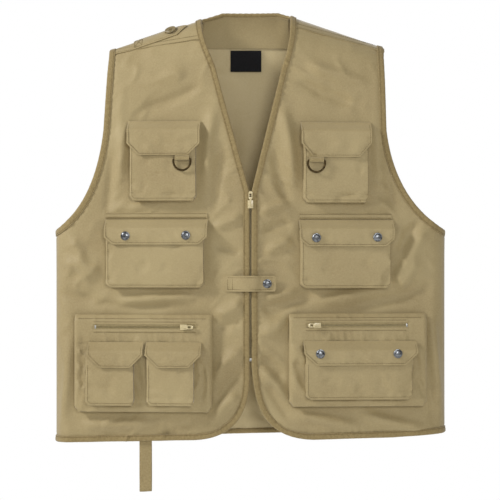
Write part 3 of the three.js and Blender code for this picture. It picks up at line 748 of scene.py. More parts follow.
def pouch_front(x, z, box, seed, sag, creases):
    """How far a bag's face stands in from its widest, in millimetres, at x and z."""
    (x0, z0), (x1, z1) = box
    u = np.clip((x - (x0 + x1) / 2) / ((x1 - x0) / 2), -1, 1)
    v = np.clip((z - (z0 + z1) / 2) / ((z1 - z0) / 2), -1, 1)
    inward = sag * (0.35 * u**4 + 0.5 * np.maximum(v, 0) ** 3 + 0.2 * v**8)
    inward = inward - 1.3 * waves(x, z, 46, seed) - 0.6 * waves(x, z, 19, seed + 1)
    ridge = np.clip(1 - 1.9 * np.abs(waves(x + 0.4 * z, z, 44, seed + 5, (1.8, 0.8))), 0, 1) ** 2
    small = np.clip(1 - 2.2 * np.abs(waves(x, z, 24, seed + 9, (2.2, 0.9))), 0, 1) ** 2
    inward = inward - 1.7 * ridge - 0.8 * small
    corner = np.hypot(np.minimum(x - x0, x1 - x), 1.3 * (z - z0))
    inward = inward + 1.3 * np.exp(-(((corner - 17) / 2.6) ** 2))
    rim = np.clip((1 - np.maximum(np.abs(u), np.abs(v))) * 9, 0, 1)
    for start, end, width, height, bow in creases:
        inward = inward - rim * fold(x, z, start, end, width, height, bow)
    edge = np.minimum(x - x0, x1 - x)
    inward = inward + 0.9 * np.exp(-(((edge - 5.2) / 1.5) ** 2)) * np.clip((z - z0 - 12) / 8, 0, 1)
    low = z - z0
    inward = inward + 0.9 * np.exp(-(((low - 13) / 2.6) ** 2)) * rim
    inward = inward - 0.6 * np.exp(-(((low - 7) / 4.0) ** 2)) * rim
    return inward


def bag(name, node, side, seed, creases=(), sag=2.4, step=3.2):
    """A bellows pocket: a soft face, and walls that fold inwards on their way back."""
    low, high = own_box(node, side)
    box = ((low[0] + 0.6, low[2] + 0.4), (high[0] - 0.6, high[2]))
    (x0, z0), (x1, z1) = box
    face, back = low[1] + 0.4, high[1]
    nx, nz = int((x1 - x0) / step) + 2, int((z1 - z0) / step) + 2
    xs, zs = np.linspace(x0, x1, nx), np.linspace(z0, z1, nz)
    gx, gz = np.meshgrid(xs, zs)
    u = (gx - (x0 + x1) / 2) / ((x1 - x0) / 2)
    v = (gz - (z0 + z1) / 2) / ((z1 - z0) / 2)
    pinch = 1 - 0.012 * (1 - v**2) * np.abs(u) ** 3
    px = (x0 + x1) / 2 + u * pinch * (x1 - x0) / 2
    corner = np.clip(np.abs(u) - 0.9, 0, 1) * np.clip(-v - 0.88, 0, 1) / 0.012
    px = px - np.sign(u) * 3.4 * corner - 3.2 * np.clip(u, 0, 1) ** 6
    pz = gz + 2.6 * corner
    py = face + np.maximum(0, pouch_front(px, pz, box, seed, sag, creases) + 0.6)
    points = [np.stack([px, py, pz], -1).reshape(-1, 3)]
    faces = grid_faces(nz, nx)
    loop = rim_loop(nz, nx)
    rim = points[0][loop]
    middle = np.array([(x0 + x1) / 2, (z0 + z1) / 2])
    draw = np.random.RandomState(seed)
    phase = draw.uniform(0, 6)
    run = np.arange(len(loop)) * step
    wobble = 0.8 * np.sin(run / 19 + phase) + 0.5 * np.sin(run / 8.3 + 2 * phase)
    du = np.clip((rim[:, 0] - middle[0]) / ((x1 - x0) / 2), -1, 1)
    dv = np.clip((rim[:, 2] - middle[1]) / ((z1 - z0) / 2), -1, 1)
    way = np.stack([np.sign(du) * np.clip((np.abs(du) - 0.93) / 0.06, 0, 1),
                    np.sign(dv) * np.clip((np.abs(dv) - 0.93) / 0.06, 0, 1)], -1)
    way /= np.maximum(np.linalg.norm(way, axis=1, keepdims=True), 1.0)
    # Share of the way back, how far the wall stands out there, and how loosely it hangs.
    rings = [(0.04, 0.5, 0.0), (0.09, 0.2, 0.2), (0.2, -0.6, 0.4), (0.38, -3.6, 1.0),
             (0.5, -5.0, 1.0), (0.62, -3.8, 1.0), (0.8, -0.4, 0.6), (0.93, 0.5, 0.2),
             (1.0, 1.4, 0)]
    start = len(points[0])
    for share, out, loose in rings:
        y = rim[:, 1] + (back - rim[:, 1]) * share
        shift = out + loose * wobble
        gusset = max(0.0, GUSSET_FOLD * math.sin(math.pi * (share - 0.45) / 0.55))
        shift = shift + np.where(way[:, 0] > 0.5, gusset, 0)
        ring = np.stack([rim[:, 0] + way[:, 0] * shift, y, rim[:, 2] + way[:, 1] * shift], -1)
        points.append(ring)
    count = len(loop)
    previous = loop
    for r in range(len(rings)):
        current = [start + r * count + k for k in range(count)]
        faces += ring_faces(previous, current)
        previous = current
    return front_sheet(name, np.concatenate(points), faces, side, 0.9, 60), box


def turn_out(obj):
    """Turns an open sheet's faces towards the front, judged by its largest stretch."""
    mesh = obj.data
    total = Vector((0, 0, 0))
    for face in mesh.polygons:
        total += face.normal * face.area
    if total.y > 0:
        mesh.flip_normals()


def front_sheet(name, points, faces, side, thickness, degrees=50, offset=-1.0):
    """A sheet of cloth in a front's own frame, facing forwards, given its thickness."""
    obj = add_mesh(name, front_frame(points, side), faces)
    turn_out(obj)
    thicken(obj, thickness, offset)
    smooth(obj, degrees)
    return obj


def flap_curve(low, high, drop):
    """A flap's way down: y and z at a drop measured along the cloth from its top edge."""
    start, out, top = high[1] - 0.4, low[1] + 0.8, high[2]
    slant = math.hypot(start - out, 15.0)
    t = np.clip(drop / slant, 0, 1)
    ease = t * t * (3 - 2 * t) * 0.35 + t * 0.65
    y = start + (out - start) * ease
    z = top - 15.0 * t - np.maximum(0, drop - slant)
    return y, z


def flap_waves(x, z, seed):
    """The unevenness of a flap's cloth, in millimetres."""
    return 1.2 * waves(x, z, 44, seed) + 0.6 * waves(x, z, 17, seed + 1)


def flap(name, node, side, seed, corner, curl=1.0):
    """A pocket flap with clipped lower corners, a raised turned edge and a soft curl."""
    low, high = own_box(node, side)
    x0, x1, z0, top = low[0], high[0], low[2], high[2]
    start, out = high[1] - 0.4, low[1] + 0.8
    slant = math.hypot(start - out, 15.0)
    length = slant + (top - 15.0 - z0)
    ring = np.array([(x0, 0), (x0, length - corner[1]), (x0 + corner[0], length),
                     (x1 - corner[0], length), (x1, length - corner[1]), (x1, 0)], float)
    ring = resample(np.concatenate([ring, ring[:1]]), 2.2)[:-1]
    points, quads = trimmed_grid(ring, 2.2)
    x, drop = points[:, 0], points[:, 1]
    closed = np.concatenate([ring, ring[:1]])
    y, z = flap_curve(low, high, drop)
    distance = nearest(points, closed)[0]
    free = np.clip((drop - slant) / 12, 0, 1)
    rim = np.minimum(distance, 9)
    beat = 0.75 + 0.45 * np.sin(2 * math.pi * (x + 0.8 * z) / 8.5 + 2 * np.sin(x / 17 + seed))
    turned = (0.9 * np.exp(-(((rim - 1.5) / 1.4) ** 2))
              - 0.9 * beat * np.exp(-(((rim - 4.4) / 1.1) ** 2)))
    soft = flap_waves(x, z, seed)
    lift = curl * np.clip((drop - length + 16) / 16, 0, 1) ** 2
    proud = free * (turned + soft * 0.6) + np.clip(drop / 5, 0, 1) * soft * 0.35
    edge = 0.5 * np.exp(-(((drop - 3.2) / 0.9) ** 2))
    placed = np.stack([x, y - proud + lift * 0.8 + edge, z], -1)
    placed[:, 1] = np.maximum(placed[:, 1], low[1] - 0.3)
    obj = front_sheet(name, placed, quads, side, 1.3, 60)
    line = inset_line(ring, FLAP_STITCHES, np.array([(x0 + x1) / 2, length / 2]))
    ly, lz = flap_curve(low, high, line[:, 1])
    wav = flap_waves(line[:, 0], lz, seed)
    open_ = np.clip((line[:, 1] - slant) / 12, 0, 1)
    drop_lift = curl * np.clip((line[:, 1] - length + 16) / 16, 0, 1) ** 2 * 0.8
    ly = (ly - open_ * (wav * 0.6 + 0.28) - np.clip(line[:, 1] / 5, 0, 1) * wav * 0.35
          + drop_lift)
    pts = front_frame(np.stack([line[:, 0], ly - 0.12, lz], -1), side)
    normal = np.tile(front_frame([[0, -1, 0]], side) - front_frame([[0, 0, 0]], side),
                     (len(pts), 1))
    return obj, [(pts, normal)]


def inset_line(ring, inset, middle):
    """The free edges of a flap's outline, drawn in by an inset."""
    keep = ring[ring[:, 1] > 7]
    order = np.argsort(np.arctan2(keep[:, 0] - middle[0], keep[:, 1] + 40))
    keep = keep[order]
    run = np.gradient(keep, axis=0)
    run = unit(run)
    normal = np.stack([run[:, 1], -run[:, 0]], -1)
    toward = np.sign(((middle - keep) * normal).sum(1, keepdims=True))
    return keep + normal * toward * inset


def own_stitches(points, side):
    """A line of points in a front's own frame as a stitch line that faces forwards."""
    pts = front_frame(np.asarray(points, float), side)
    normal = front_frame([[0, -1, 0]], side) - front_frame([[0, 0, 0]], side)
    return pts, np.tile(normal, (len(pts), 1))


# ---------------------------------------------------------------- zips and metal


def own_matrix(side, x, y, z):
    """The place of a small part whose mesh is made round its own origin, facing -Y."""
    at = front_frame([[x, y, z]], side)[0] * MM
    return Matrix.Translation(at.tolist()) @ Matrix.Rotation(FRONT_TURN * side, 4, "Z")


def bake(obj, matrix):
    """Moves an object's mesh by a matrix and leaves the object itself at the origin."""
    obj.data.transform(matrix @ obj.matrix_world)
    obj.matrix_world = Matrix.Identity(4)
    return obj


def join(name, objects):
    activate(objects[0])
    for obj in objects[1:]:
        obj.select_set(True)
    if len(objects) > 1:
        bpy.ops.object.join()
    objects[0].name = name
    return objects[0]


def disc(radius, depth, y, sides=32, bevel=0.0, segments=2):
    """A round slice facing -Y with its back at y, in millimetres, with a bevelled rim."""
    deselect()
    bpy.ops.mesh.primitive_cylinder_add(
        vertices=sides, radius=radius * MM, depth=depth * MM,
        location=(0, (y - depth / 2) * MM, 0), rotation=(math.pi / 2, 0, 0))
    obj = bpy.context.active_object
    if bevel:
        apply_modifier(obj, "BEVEL", width=bevel * MM, segments=segments, limit_method="ANGLE")
    return bake(obj, Matrix.Identity(4))


def ball(radius, place, squash):
    deselect()
    bpy.ops.mesh.primitive_uv_sphere_add(segments=28, ring_count=14, radius=radius * MM)
    obj = bpy.context.active_object
    bpy.ops.transform.resize(value=squash)
    return bake(obj, Matrix.Translation([p * MM for p in place]))


def box_piece(size, place, bevel=0.3, segments=2):
    """A bevelled block from its size and middle, in millimetres."""
    deselect()
    bpy.ops.mesh.primitive_cube_add(size=MM, location=[p * MM for p in place])
    obj = bpy.context.active_object
    bpy.ops.transform.resize(value=size)
    bake(obj, Matrix.Identity(4))
    if bevel:
        apply_modifier(obj, "BEVEL", width=bevel * MM, segments=segments)
    return obj


def wire(name, points, radius, closed=False, sides=10):
    """A round wire along a line of points in millimetres."""
    line = np.asarray(points, float)
    if closed:
        tangent = np.roll(line, -1, 0) - np.roll(line, 1, 0)
    else:
        tangent = np.gradient(line, axis=0)
    tangent /= np.linalg.norm(tangent, axis=1, keepdims=True)
    guide = np.array([0.31, 0.87, 0.38])
    a = np.cross(tangent, guide)
    a /= np.linalg.norm(a, axis=1, keepdims=True)
    b = np.cross(tangent, a)
    turn = np.linspace(0, 2 * math.pi, sides, endpoint=False)
    ring = (line[:, None] + radius * (np.cos(turn)[None, :, None] * a[:, None]
                                      + np.sin(turn)[None, :, None] * b[:, None]))
    count = len(line)
    faces = grid_faces(count, sides, closed=True)
    if closed:
        for j in range(sides):
            k = (j + 1) % sides
            faces.append(((count - 1) * sides + j, (count - 1) * sides + k, k, j))
    else:
        faces.append(list(range(sides)))
        faces.append(list(range((count - 1) * sides, count * sides))[::-1])
    obj = add_mesh(name, ring.reshape(-1, 3), faces)
    outward(obj)
    smooth(obj, 60)
    return obj


def snap_cap(name, side, x, y, z):
    """A domed snap with a rolled rim, standing forwards from y."""
    rim = disc(7.3, 1.3, y, sides=40, bevel=0.55, segments=3)
    dome = ball(6.1, (0, y - 1.0, 0), (1, 0.34, 1))
    obj = join(name, [rim, dome])
    smooth(obj, 45)
    return bake(obj, own_matrix(side, x, 0, z))


def snap_stud(name, side, x, y, z):
    base = disc(5.7, 0.7, y, sides=32, bevel=0.25)
    post = disc(3.0, 1.7, y, sides=24, bevel=0.5)
    obj = join(name, [base, post])
    smooth(obj, 45)
    return bake(obj, own_matrix(side, x, 0, z))


def teeth(name, length, pitch, proud, width=4.4, tooth=1.15):
    """Two meshing rows of moulded teeth along X, standing forwards from y = 0."""
    count = int(length / pitch)
    xs = (np.arange(count) - (count - 1) / 2) * pitch
    points, faces = [], []
    for row in (-1, 1):
        for x in xs + row * pitch / 4:
            z0, z1 = (-width / 2, 0.55) if row < 0 else (-0.55, width / 2)
            first = len(points)
            for y, shrink in ((0.0, 0.0), (-proud, 0.22)):
                points += [(x - tooth / 2 + shrink, y, z0 + shrink),
                           (x + tooth / 2 - shrink, y, z0 + shrink),
                           (x + tooth / 2 - shrink, y, z1 - shrink),
                           (x - tooth / 2 + shrink, y, z1 - shrink)]
            faces += [(first, first + 1, first + 5, first + 4),
                      (first + 1, first + 2, first + 6, first + 5),
                      (first + 2, first + 3, first + 7, first + 6),
                      (first + 3, first, first + 4, first + 7),
                      (first + 4, first + 5, first + 6, first + 7),
                      (first + 3, first + 2, first + 1, first)]
    return add_mesh(name, points, faces)


def slider_shell(name, length, width, height):
    """A zip slider along X: two plates, a neck between them and a bail for the pull."""
    plate = box_piece((length, height * 0.36, width), (0, -height * 0.82, 0), 0.5, 3)
    narrow = box_piece((length * 0.62, height * 0.9, width * 0.62),
                       (-length * 0.14, -height * 0.5, 0), 0.5, 2)
    wings = [box_piece((length * 0.72, height * 0.78, 0.9),
                       (length * 0.1, -height * 0.45, s * width * 0.45), 0.3) for s in (-1, 1)]
    turn = np.linspace(0, math.pi, 14)
    bail = wire("bail", np.stack([-np.cos(turn) * length * 0.3,
                                  -height * 0.9 - np.sin(turn) * 1.15, 0 * turn], -1), 0.55)
    obj = join(name, [plate, narrow, *wings, bail])
    smooth(obj, 40)
    return obj


def pull_shell(name, length, width):
    """A zip pull from its eye at the origin along +X, with a long slot and a grip hole."""
    half = width / 2
    deselect()
    outline = [(-0.9, -1.3), (3.4, -1.3), (5.6, -half), (length - 2.2, -half),
               (length, -half + 1.7), (length, half - 1.7), (length - 2.2, half), (5.6, half),
               (3.4, 1.3), (-0.9, 1.3)]
    points = [(x, -0.5, z) for x, z in outline] + [(x, 0.5, z) for x, z in outline]
    n = len(outline)
    faces = [list(range(n)), list(range(n, 2 * n))[::-1]]
    faces += [(i, n + i, n + (i + 1) % n, (i + 1) % n) for i in range(n)]
    body = add_mesh(name, points, faces)
    outward(body)
    for x, reach in ((length - 5.4, 1.05), (8.6, 1.0)):
        cut = box_piece((reach * 2.6, 4, width - 3.0), (x, 0, 0), 0)
        activate(body)
        modifier = body.modifiers.new("Slot", "BOOLEAN")
        modifier.operation = "DIFFERENCE"
        modifier.object = cut
        modifier.solver = "EXACT"
        bpy.ops.object.modifier_apply(modifier=modifier.name)
        bpy.data.objects.remove(cut)
    apply_modifier(body, "BEVEL", width=0.28 * MM, segments=2, limit_method="ANGLE")
    smooth(body, 40)
    return body


def zip_tape_strip(name, left, right, z, half, face, side):
    """Woven tape behind a level zip, a little ribbed across."""
    xs = np.arange(left, right + 0.1, 2.0)
    zs = np.linspace(z - half, z + half, 7)
    gx, gz = np.meshgrid(xs, zs)
    y = face + 0.12 * np.cos((gz - z) / half * 5 * math.pi)
    pts = np.stack([gx, y, gz], -1).reshape(-1, 3)
    return front_sheet(name, pts, grid_faces(len(zs), len(xs)), side, 0.9)


def zipped_pouch(name, node, zip_node, side, seed, creases):
    """A soft pocket with a turned channel for its zip, walled down to the cloth behind."""
    low, high = own_box(node, side)
    slot_low, slot_high = own_box(zip_node, side)
    box = ((low[0] + 0.5, low[2] + 0.5), (high[0] - 0.5, high[2] - 0.3))
    (x0, z0), (x1, z1) = box
    step = 3.0
    xs = np.linspace(x0, x1, int((x1 - x0) / step) + 2)
    slot_z0, slot_z1 = slot_low[2] + 0.6, slot_high[2] - 0.6
    zs = np.concatenate([np.linspace(z0, slot_z0 - 3, int((slot_z0 - 3 - z0) / step) + 2),
                         [slot_z0 - 1.6, slot_z0 - 0.6, slot_z0, slot_z0 + 0.3, slot_z0 + 2,
                          slot_z1 - 2, slot_z1 - 0.3, slot_z1, slot_z1 + 0.6, slot_z1 + 1.6],
                         np.linspace(slot_z1 + 3, z1, int((z1 - slot_z1 - 3) / 2.2) + 2)])
    gx, gz = np.meshgrid(xs, zs)
    u = (gx - (x0 + x1) / 2) / ((x1 - x0) / 2)
    v = (gz - (z0 + z1) / 2) / ((z1 - z0) / 2)
    corner = np.clip(np.abs(u) - 0.95, 0, 1) * np.clip(-v - 0.9, 0, 1) / 0.005
    px = gx - np.sign(u) * 4.0 * corner
    pz = gz + 3.2 * corner
    soft = 0.8 * waves(gx, gz, 60, seed) + 0.4 * waves(gx, gz, 22, seed + 1)
    for start, end, width, height, bow in creases:
        soft = soft + fold(gx, gz, start, end, width, height, bow)
    near_slot = np.clip((np.abs(gz - (slot_z0 + slot_z1) / 2) - 5) / 18, 0, 1)
    rim = np.clip((1 - np.abs(u)) * 14, 0, 1) * np.clip((gz - z0) / 10, 0, 1)
    face = low[1] + 0.6
    gather = np.exp(-(((gz - slot_z0 + 11) / 7) ** 2)) + np.exp(-(((gz - slot_z1 - 8) / 4) ** 2))
    beat = np.sin(2 * math.pi * (gx + 0.35 * gz) / 9.5 + 2.4 * np.sin(gx / 23 + seed))
    soft = soft + 1.4 * gather * beat * (0.6 + 0.4 * np.sin(gx / 31 + seed))
    ridge = np.clip(1 - 1.9 * np.abs(waves(gx, gz, 50, seed + 5, (0.8, 1.5))), 0, 1) ** 2
    soft = soft + 2.2 * ridge
    out = np.clip(soft, -2.0, 3.4) * near_slot * rim
    seam = np.exp(-(((gz - slot_z0 + 24) / 1.3) ** 2))
    out = out - 1.2 * seam * rim
    turned = (0.7 * np.exp(-(((gz - slot_z1 - 2.0) / 2.2) ** 2))
              + 0.6 * np.exp(-(((gz - slot_z0 + 2.0) / 2.2) ** 2)))
    top_fall = 7.0 * np.clip((gz - (z1 - 9)) / 9, 0, 1) ** 2.2
    side_fall = 1.6 * np.clip((np.abs(u) - 0.97) / 0.03, 0, 1) ** 2
    inside_x = (gx > slot_low[0] + 1) & (gx < slot_high[0] - 1)
    channel = (gz > slot_z0) & (gz < slot_z1) & inside_x
    py = face - out - turned * inside_x + top_fall + side_fall
    py = np.where(channel, face + 2.2, py)
    pts = [np.stack([px, py, pz], -1).reshape(-1, 3)]
    nz, nx = gx.shape
    faces = grid_faces(nz, nx)
    loop = rim_loop(nz, nx)
    rim_points = pts[0][loop]
    du = (rim_points[:, 0] - (x0 + x1) / 2) / ((x1 - x0) / 2)
    way_x = np.sign(du) * np.clip((np.abs(du) - 0.97) / 0.02, 0, 1)
    way_z = np.where(rim_points[:, 2] < z0 + 4, -1.0, 0.0)
    way_z = np.where(rim_points[:, 2] > z1 - 1, 1.0, way_z)
    draw = np.random.RandomState(seed)
    run = np.arange(len(loop)) * step
    wobble = 0.7 * np.sin(run / 21 + draw.uniform(0, 6)) + 0.4 * np.sin(run / 9)
    rings = [(0.08, 0.5), (0.25, -1.0), (0.45, -3.2), (0.6, -3.4), (0.8, -0.8), (1.0, 1.0)]
    start, count, previous = len(pts[0]), len(loop), loop
    back = high[1] + 0.2
    for r, (share, out_by) in enumerate(rings):
        y = rim_points[:, 1] + (back - rim_points[:, 1]) * share
        shift = out_by + wobble * (0 < r < 5)
        pts.append(np.stack([rim_points[:, 0] + way_x * shift, y,
                             rim_points[:, 2] + way_z * shift], -1))
        current = [start + r * count + k for k in range(count)]
        faces += ring_faces(previous, current)
        previous = current
    obj = front_sheet(name, np.concatenate(pts), faces, side, 0.9, 55)
    lines = [own_stitches([(x, face - 0.75, z) for x in np.arange(slot_low[0], slot_high[0], 4.0)],
                          side) for z in (slot_z1 + 4.2, slot_z0 - 4.2)]
    top = [(x, face + 0.15, z1 - 5.2) for x in np.arange(x0 + 6, x1 - 6, 4.0)]
    lines.append(own_stitches(top, side))
    return obj, lines, (slot_low, slot_high, face)


# ---------------------------------------------------------------- materials


def linear(code):
    """An sRGB hex colour as linear red, green, blue and alpha."""
    parts = [int(code[i : i + 2], 16) / 255 for i in (1, 3, 5)]
    return [c / 12.92 if c <= 0.04045 else ((c + 0.055) / 1.055) ** 2.4 for c in parts] + [1.0]


def add_node(tree, kind, sources=None, **settings):
    """Adds a node, sets its values and sockets, and links its inputs."""
    node = tree.nodes.new(kind)
    for key, value in settings.items():
        setattr(node, key, value)
    for key, source in (sources or {}).items():
        socket = node.inputs[key]
        if isinstance(source, bpy.types.NodeSocket):
            tree.links.new(source, socket)
        else:
            socket.default_value = source
    return node


def new_material(name):
    material = bpy.data.materials.new(name)
    material.use_nodes = True
    tree = material.node_tree
    tree.nodes.clear()
    output = add_node(tree, "ShaderNodeOutputMaterial")
    shader = add_node(tree, "ShaderNodeBsdfPrincipled")
    tree.links.new(shader.outputs["BSDF"], output.inputs["Surface"])
    place = add_node(tree, "ShaderNodeTexCoord")
    return material, tree, shader, place.outputs["Object"]


def mix(tree, factor, first, second, blend="MIX"):
    node = add_node(tree, "ShaderNodeMix", data_type="RGBA", blend_type=blend)
    for index, source in ((0, factor), (6, first), (7, second)):
        if isinstance(source, bpy.types.NodeSocket):
            tree.links.new(source, node.inputs[index])
        else:
            node.inputs[index].default_value = source
    return node.outputs[2]


def shaded(tree, colour, shade):
    """A colour made lighter or darker by a value."""
    tone = add_node(tree, "ShaderNodeCombineColor", {"Red": shade, "Green": shade, "Blue": shade})
    return mix(tree, 1.0, colour, tone.outputs["Color"], "MULTIPLY")


def maths(tree, operation, first, second=0.5):
    return add_node(tree, "ShaderNodeMath", {0: first, 1: second}, operation=operation).outputs[0]


def noise(tree, place, size_mm, detail=2.0, roughness=0.5, distortion=0.0):
    """Noise whose features are about size_mm across."""
    node = add_node(tree, "ShaderNodeTexNoise",
                    {"Vector": place, "Scale": 1 / (size_mm * MM), "Detail": detail,
                     "Roughness": roughness, "Distortion": distortion})
    return node.outputs["Fac"]


def span(tree, value, low, high, to_low=0.0, to_high=1.0):
    node = add_node(tree, "ShaderNodeMapRange",
                    {"Value": value, "From Min": low, "From Max": high, "To Min": to_low,
                     "To Max": to_high}, clamp=True)
    return node.outputs["Result"]


def ribs(tree, place, pitch_mm, turn, wobble=0.0):
    """Straight ridges pitch_mm apart in the X-Z plane, turned about Y, from 0 to 1."""
    mapping = add_node(tree, "ShaderNodeMapping", {"Vector": place, "Rotation": (0, turn, 0)})
    wave = add_node(tree, "ShaderNodeTexWave",
                    {"Vector": mapping.outputs["Vector"], "Scale": 0.314 / (pitch_mm * MM),
                     "Distortion": wobble, "Detail": 1.0, "Detail Scale": 2.0},
                    wave_type="BANDS", bands_direction="X", wave_profile="SIN")
    return wave.outputs["Fac"]


def bump(tree, height, strength, distance_mm):
    node = add_node(tree, "ShaderNodeBump",
                    {"Height": height, "Strength": strength, "Distance": distance_mm * MM})
    return node.outputs["Normal"]


def cloth(name, base, dark, light, pitch_mm, turn, weave=0.5, sheen=0.25):
    """A woven cotton: diagonal ribs, flecks in the yarn and broad fading."""
    material, tree, shader, place = new_material(name)
    broad = span(tree, noise(tree, place, 120, 3), 0.3, 0.7)
    yarn = span(tree, noise(tree, place, 2.4, 2, 0.7), 0.3, 0.7)
    weave_rib = ribs(tree, place, pitch_mm, turn, 0.6)
    colour = mix(tree, broad, dark, base)
    colour = mix(tree, maths(tree, "MULTIPLY", yarn, 0.42), colour, light)
    shade = span(tree, weave_rib, 0.0, 1.0, 0.84, 1.06)
    colour = shaded(tree, colour, shade)
    tree.links.new(colour, shader.inputs["Base Color"])
    shader.inputs["Roughness"].default_value = 0.56
    shader.inputs["Sheen Weight"].default_value = sheen
    shader.inputs["Sheen Roughness"].default_value = 0.5
    shader.inputs["Specular IOR Level"].default_value = 0.35
    height = maths(tree, "ADD", maths(tree, "MULTIPLY", weave_rib, 0.7),
                   maths(tree, "MULTIPLY", noise(tree, place, 1.6, 2, 0.6), 0.8))
    tree.links.new(bump(tree, height, weave, 0.35), shader.inputs["Normal"])
    return material


def webbing(name, base, dark, pitch_mm):
    """Narrow woven cotton tape: fine ribs crossed by a second set."""
    material, tree, shader, place = new_material(name)
    across = ribs(tree, place, pitch_mm, math.radians(12), 1.2)
    along = ribs(tree, place, pitch_mm, math.radians(102), 1.2)
    check = maths(tree, "MULTIPLY", across, along)
    fleck = span(tree, noise(tree, place, 3.0, 2, 0.7), 0.3, 0.7)
    colour = mix(tree, fleck, dark, base)
    shade = span(tree, check, 0.0, 1.0, 0.86, 1.08)
    colour = shaded(tree, colour, shade)
    tree.links.new(colour, shader.inputs["Base Color"])
    shader.inputs["Roughness"].default_value = 0.9
    shader.inputs["Sheen Weight"].default_value = 0.2
    shader.inputs["Specular IOR Level"].default_value = 0.25
    tree.links.new(bump(tree, check, 0.55, 0.3), shader.inputs["Normal"])
    return material


def metal(name, base, dark, roughness, wear_mm=4.0):
    """A plated metal with a thin, uneven darkening and fine handling marks."""
    material, tree, shader, place = new_material(name)
    patch = span(tree, noise(tree, place, wear_mm, 3, 0.6), 0.35, 0.65)
    tree.links.new(mix(tree, patch, linear(dark), linear(base)), shader.inputs["Base Color"])
    shader.inputs["Metallic"].default_value = 1.0
    rough = span(tree, noise(tree, place, wear_mm / 2, 2), 0.3, 0.7, roughness, roughness + 0.16)
    tree.links.new(rough, shader.inputs["Roughness"])
    tree.links.new(bump(tree, noise(tree, place, 0.8, 2), 0.12, 0.1), shader.inputs["Normal"])
    return material


def painted(name, base, worn, roughness, coat=0.0):
    """Enamel, moulded resin or thread: one colour, a little worn."""
    material, tree, shader, place = new_material(name)
    wear = span(tree, noise(tree, place, 2.5, 3, 0.6), 0.45, 0.7)
    tree.links.new(mix(tree, wear, linear(base), linear(worn)), shader.inputs["Base Color"])
    shader.inputs["Roughness"].default_value = roughness
    shader.inputs["Coat Weight"].default_value = coat
    tree.links.new(bump(tree, noise(tree, place, 0.7, 2), 0.15, 0.1), shader.inputs["Normal"])
    return material


MATERIALS = {}


def make_materials(colours):
    """All of the vest's materials, each named for what it is made of."""
    diagonal = math.radians(-58)
    made = {
        # Garment-washed cotton twill, khaki; ribs drawn about 1.4 mm apart.
        "twill": cloth("washed_cotton_twill", colours.twill, linear("#99865c"), linear("#b6a57c"),
                       1.4, diagonal),
        # Its wrong side, drawn paler as painted light so that the vest's inside isn't lost in shade.
        "reverse": cloth("twill_wrong_side_painted_light", linear("#c8b68a"), linear("#bba87b"),
                         linear("#d2c299"), 1.4, -diagonal),
        # The same cotton cut on the straight for bindings and webbing.
        "tape": webbing("cotton_binding_tape", colours.binding, linear("#8d7a52"), 1.1),
        "webbing": webbing("cotton_webbing", colours.webbing, linear("#94825a"), 1.3),
        # Thread in its own colour, drawn darker as painted shade for the grooves that the stitches sink
        # into.
        "thread": painted("polyester_thread_painted_shade", "#74643f", "#85744d", 0.7),
        # Zip tape is woven polyester, with acetal teeth moulded on.
        "zip_tape": webbing("polyester_zip_tape", linear("#b5a47b"), linear("#a39269"), 0.8),
        "zip_teeth": painted("acetal_teeth", "#9a8b62", "#7d704b", 0.45),
        # Brass under a worn black-nickel plate.
        "gunmetal": metal("black_nickel_plate", "#8d9094", "#4a4b4c", 0.24),
        "antique": metal("antique_brass", "#5a4a30", "#2f2618", 0.34),
        "steel": metal("nickel_plate", "#c9c9c4", "#9b9b96", 0.28),
        "enamel": painted("cream_enamel_on_zinc", "#cdbd92", "#b5a67c", 0.38, 0.25),
        "label": webbing("black_damask_label", linear("#17171a"), linear("#0f0f12"), 0.5),
        "resin": painted("horn_resin", "#8b7b56", "#6f6142", 0.35, 0.2),
    }
    MATERIALS.update(made)


# ---------------------------------------------------------------- the vest's pieces


FRONTS = {"right": -1, "left": 1}

RIGHT_CHEST_CREASES = [
    ((-176, -296), (-120, -290), 5, 1.2, 2), ((-100, -250), (-94, -300), 5, 1.4, 2),
    ((-184, -250), (-178, -300), 5, 1.4, -2), ((-150, -300), (-96, -304), 4, -1, 1),
]
LEFT_CHEST_CREASES = [
    ((96, -300), (160, -292), 5, 1.2, 2), ((186, -250), (180, -302), 5, 1.5, 2),
    ((95, -245), (100, -300), 5, 1.3, -2), ((130, -304), (186, -300), 4, -1, 1),
]
RIGHT_WAIST_CREASES = [
    ((-226, -432), (-80, -436), 5, 1.5, 1), ((-222, -392), (-180, -440), 7, 1.4, 3),
    ((-84, -392), (-104, -438), 6, 1.6, -3), ((-160, -388), (-150, -430), 8, 1.0, 2),
]
LEFT_WAIST_CREASES = [
    ((88, -432), (222, -436), 5, 1.6, 1), ((90, -394), (120, -440), 7, 1.5, -3),
    ((222, -392), (196, -440), 6, 1.6, 3), ((150, -390), (160, -432), 8, 1.0, 2),
]
RIGHT_LOWER_CREASES = [
    ((-282, -548), (-262, -572), 4, 1.6, 2), ((-283, -576), (-264, -592), 4, 1.5, 2),
    ((-282, -600), (-262, -618), 4, 1.6, -2), ((-180, -530), (-168, -650), 5, 2, 3),
    ((-272, -520), (-276, -640), 4, -1.4, 2), ((-84, -548), (-66, -612), 5, 2, 3),
    ((-90, -640), (-260, -644), 4, 1.2, 1), ((-74, -560), (-80, -640), 4, -1.4, 2),
]
LEFT_LOWER_CREASES = [
    ((66, -540), (88, -576), 5, 2.2, 3), ((66, -566), (90, -604), 5, -1.8, 3),
    ((66, -590), (92, -628), 5, 2.2, -3), ((268, -540), (282, -600), 5, 2, 3),
    ((266, -590), (282, -632), 4, -1.6, 2), ((90, -634), (260, -636), 4, 1.2, 1),
]
BAG_WALLS = (36, 30)  # cloth for a bag's walls: across, and down
POUCH_WALLS = 28
FLAP_SLOPE = 8  # cloth between a flap's face and its seam
BAND_DEEP = 14
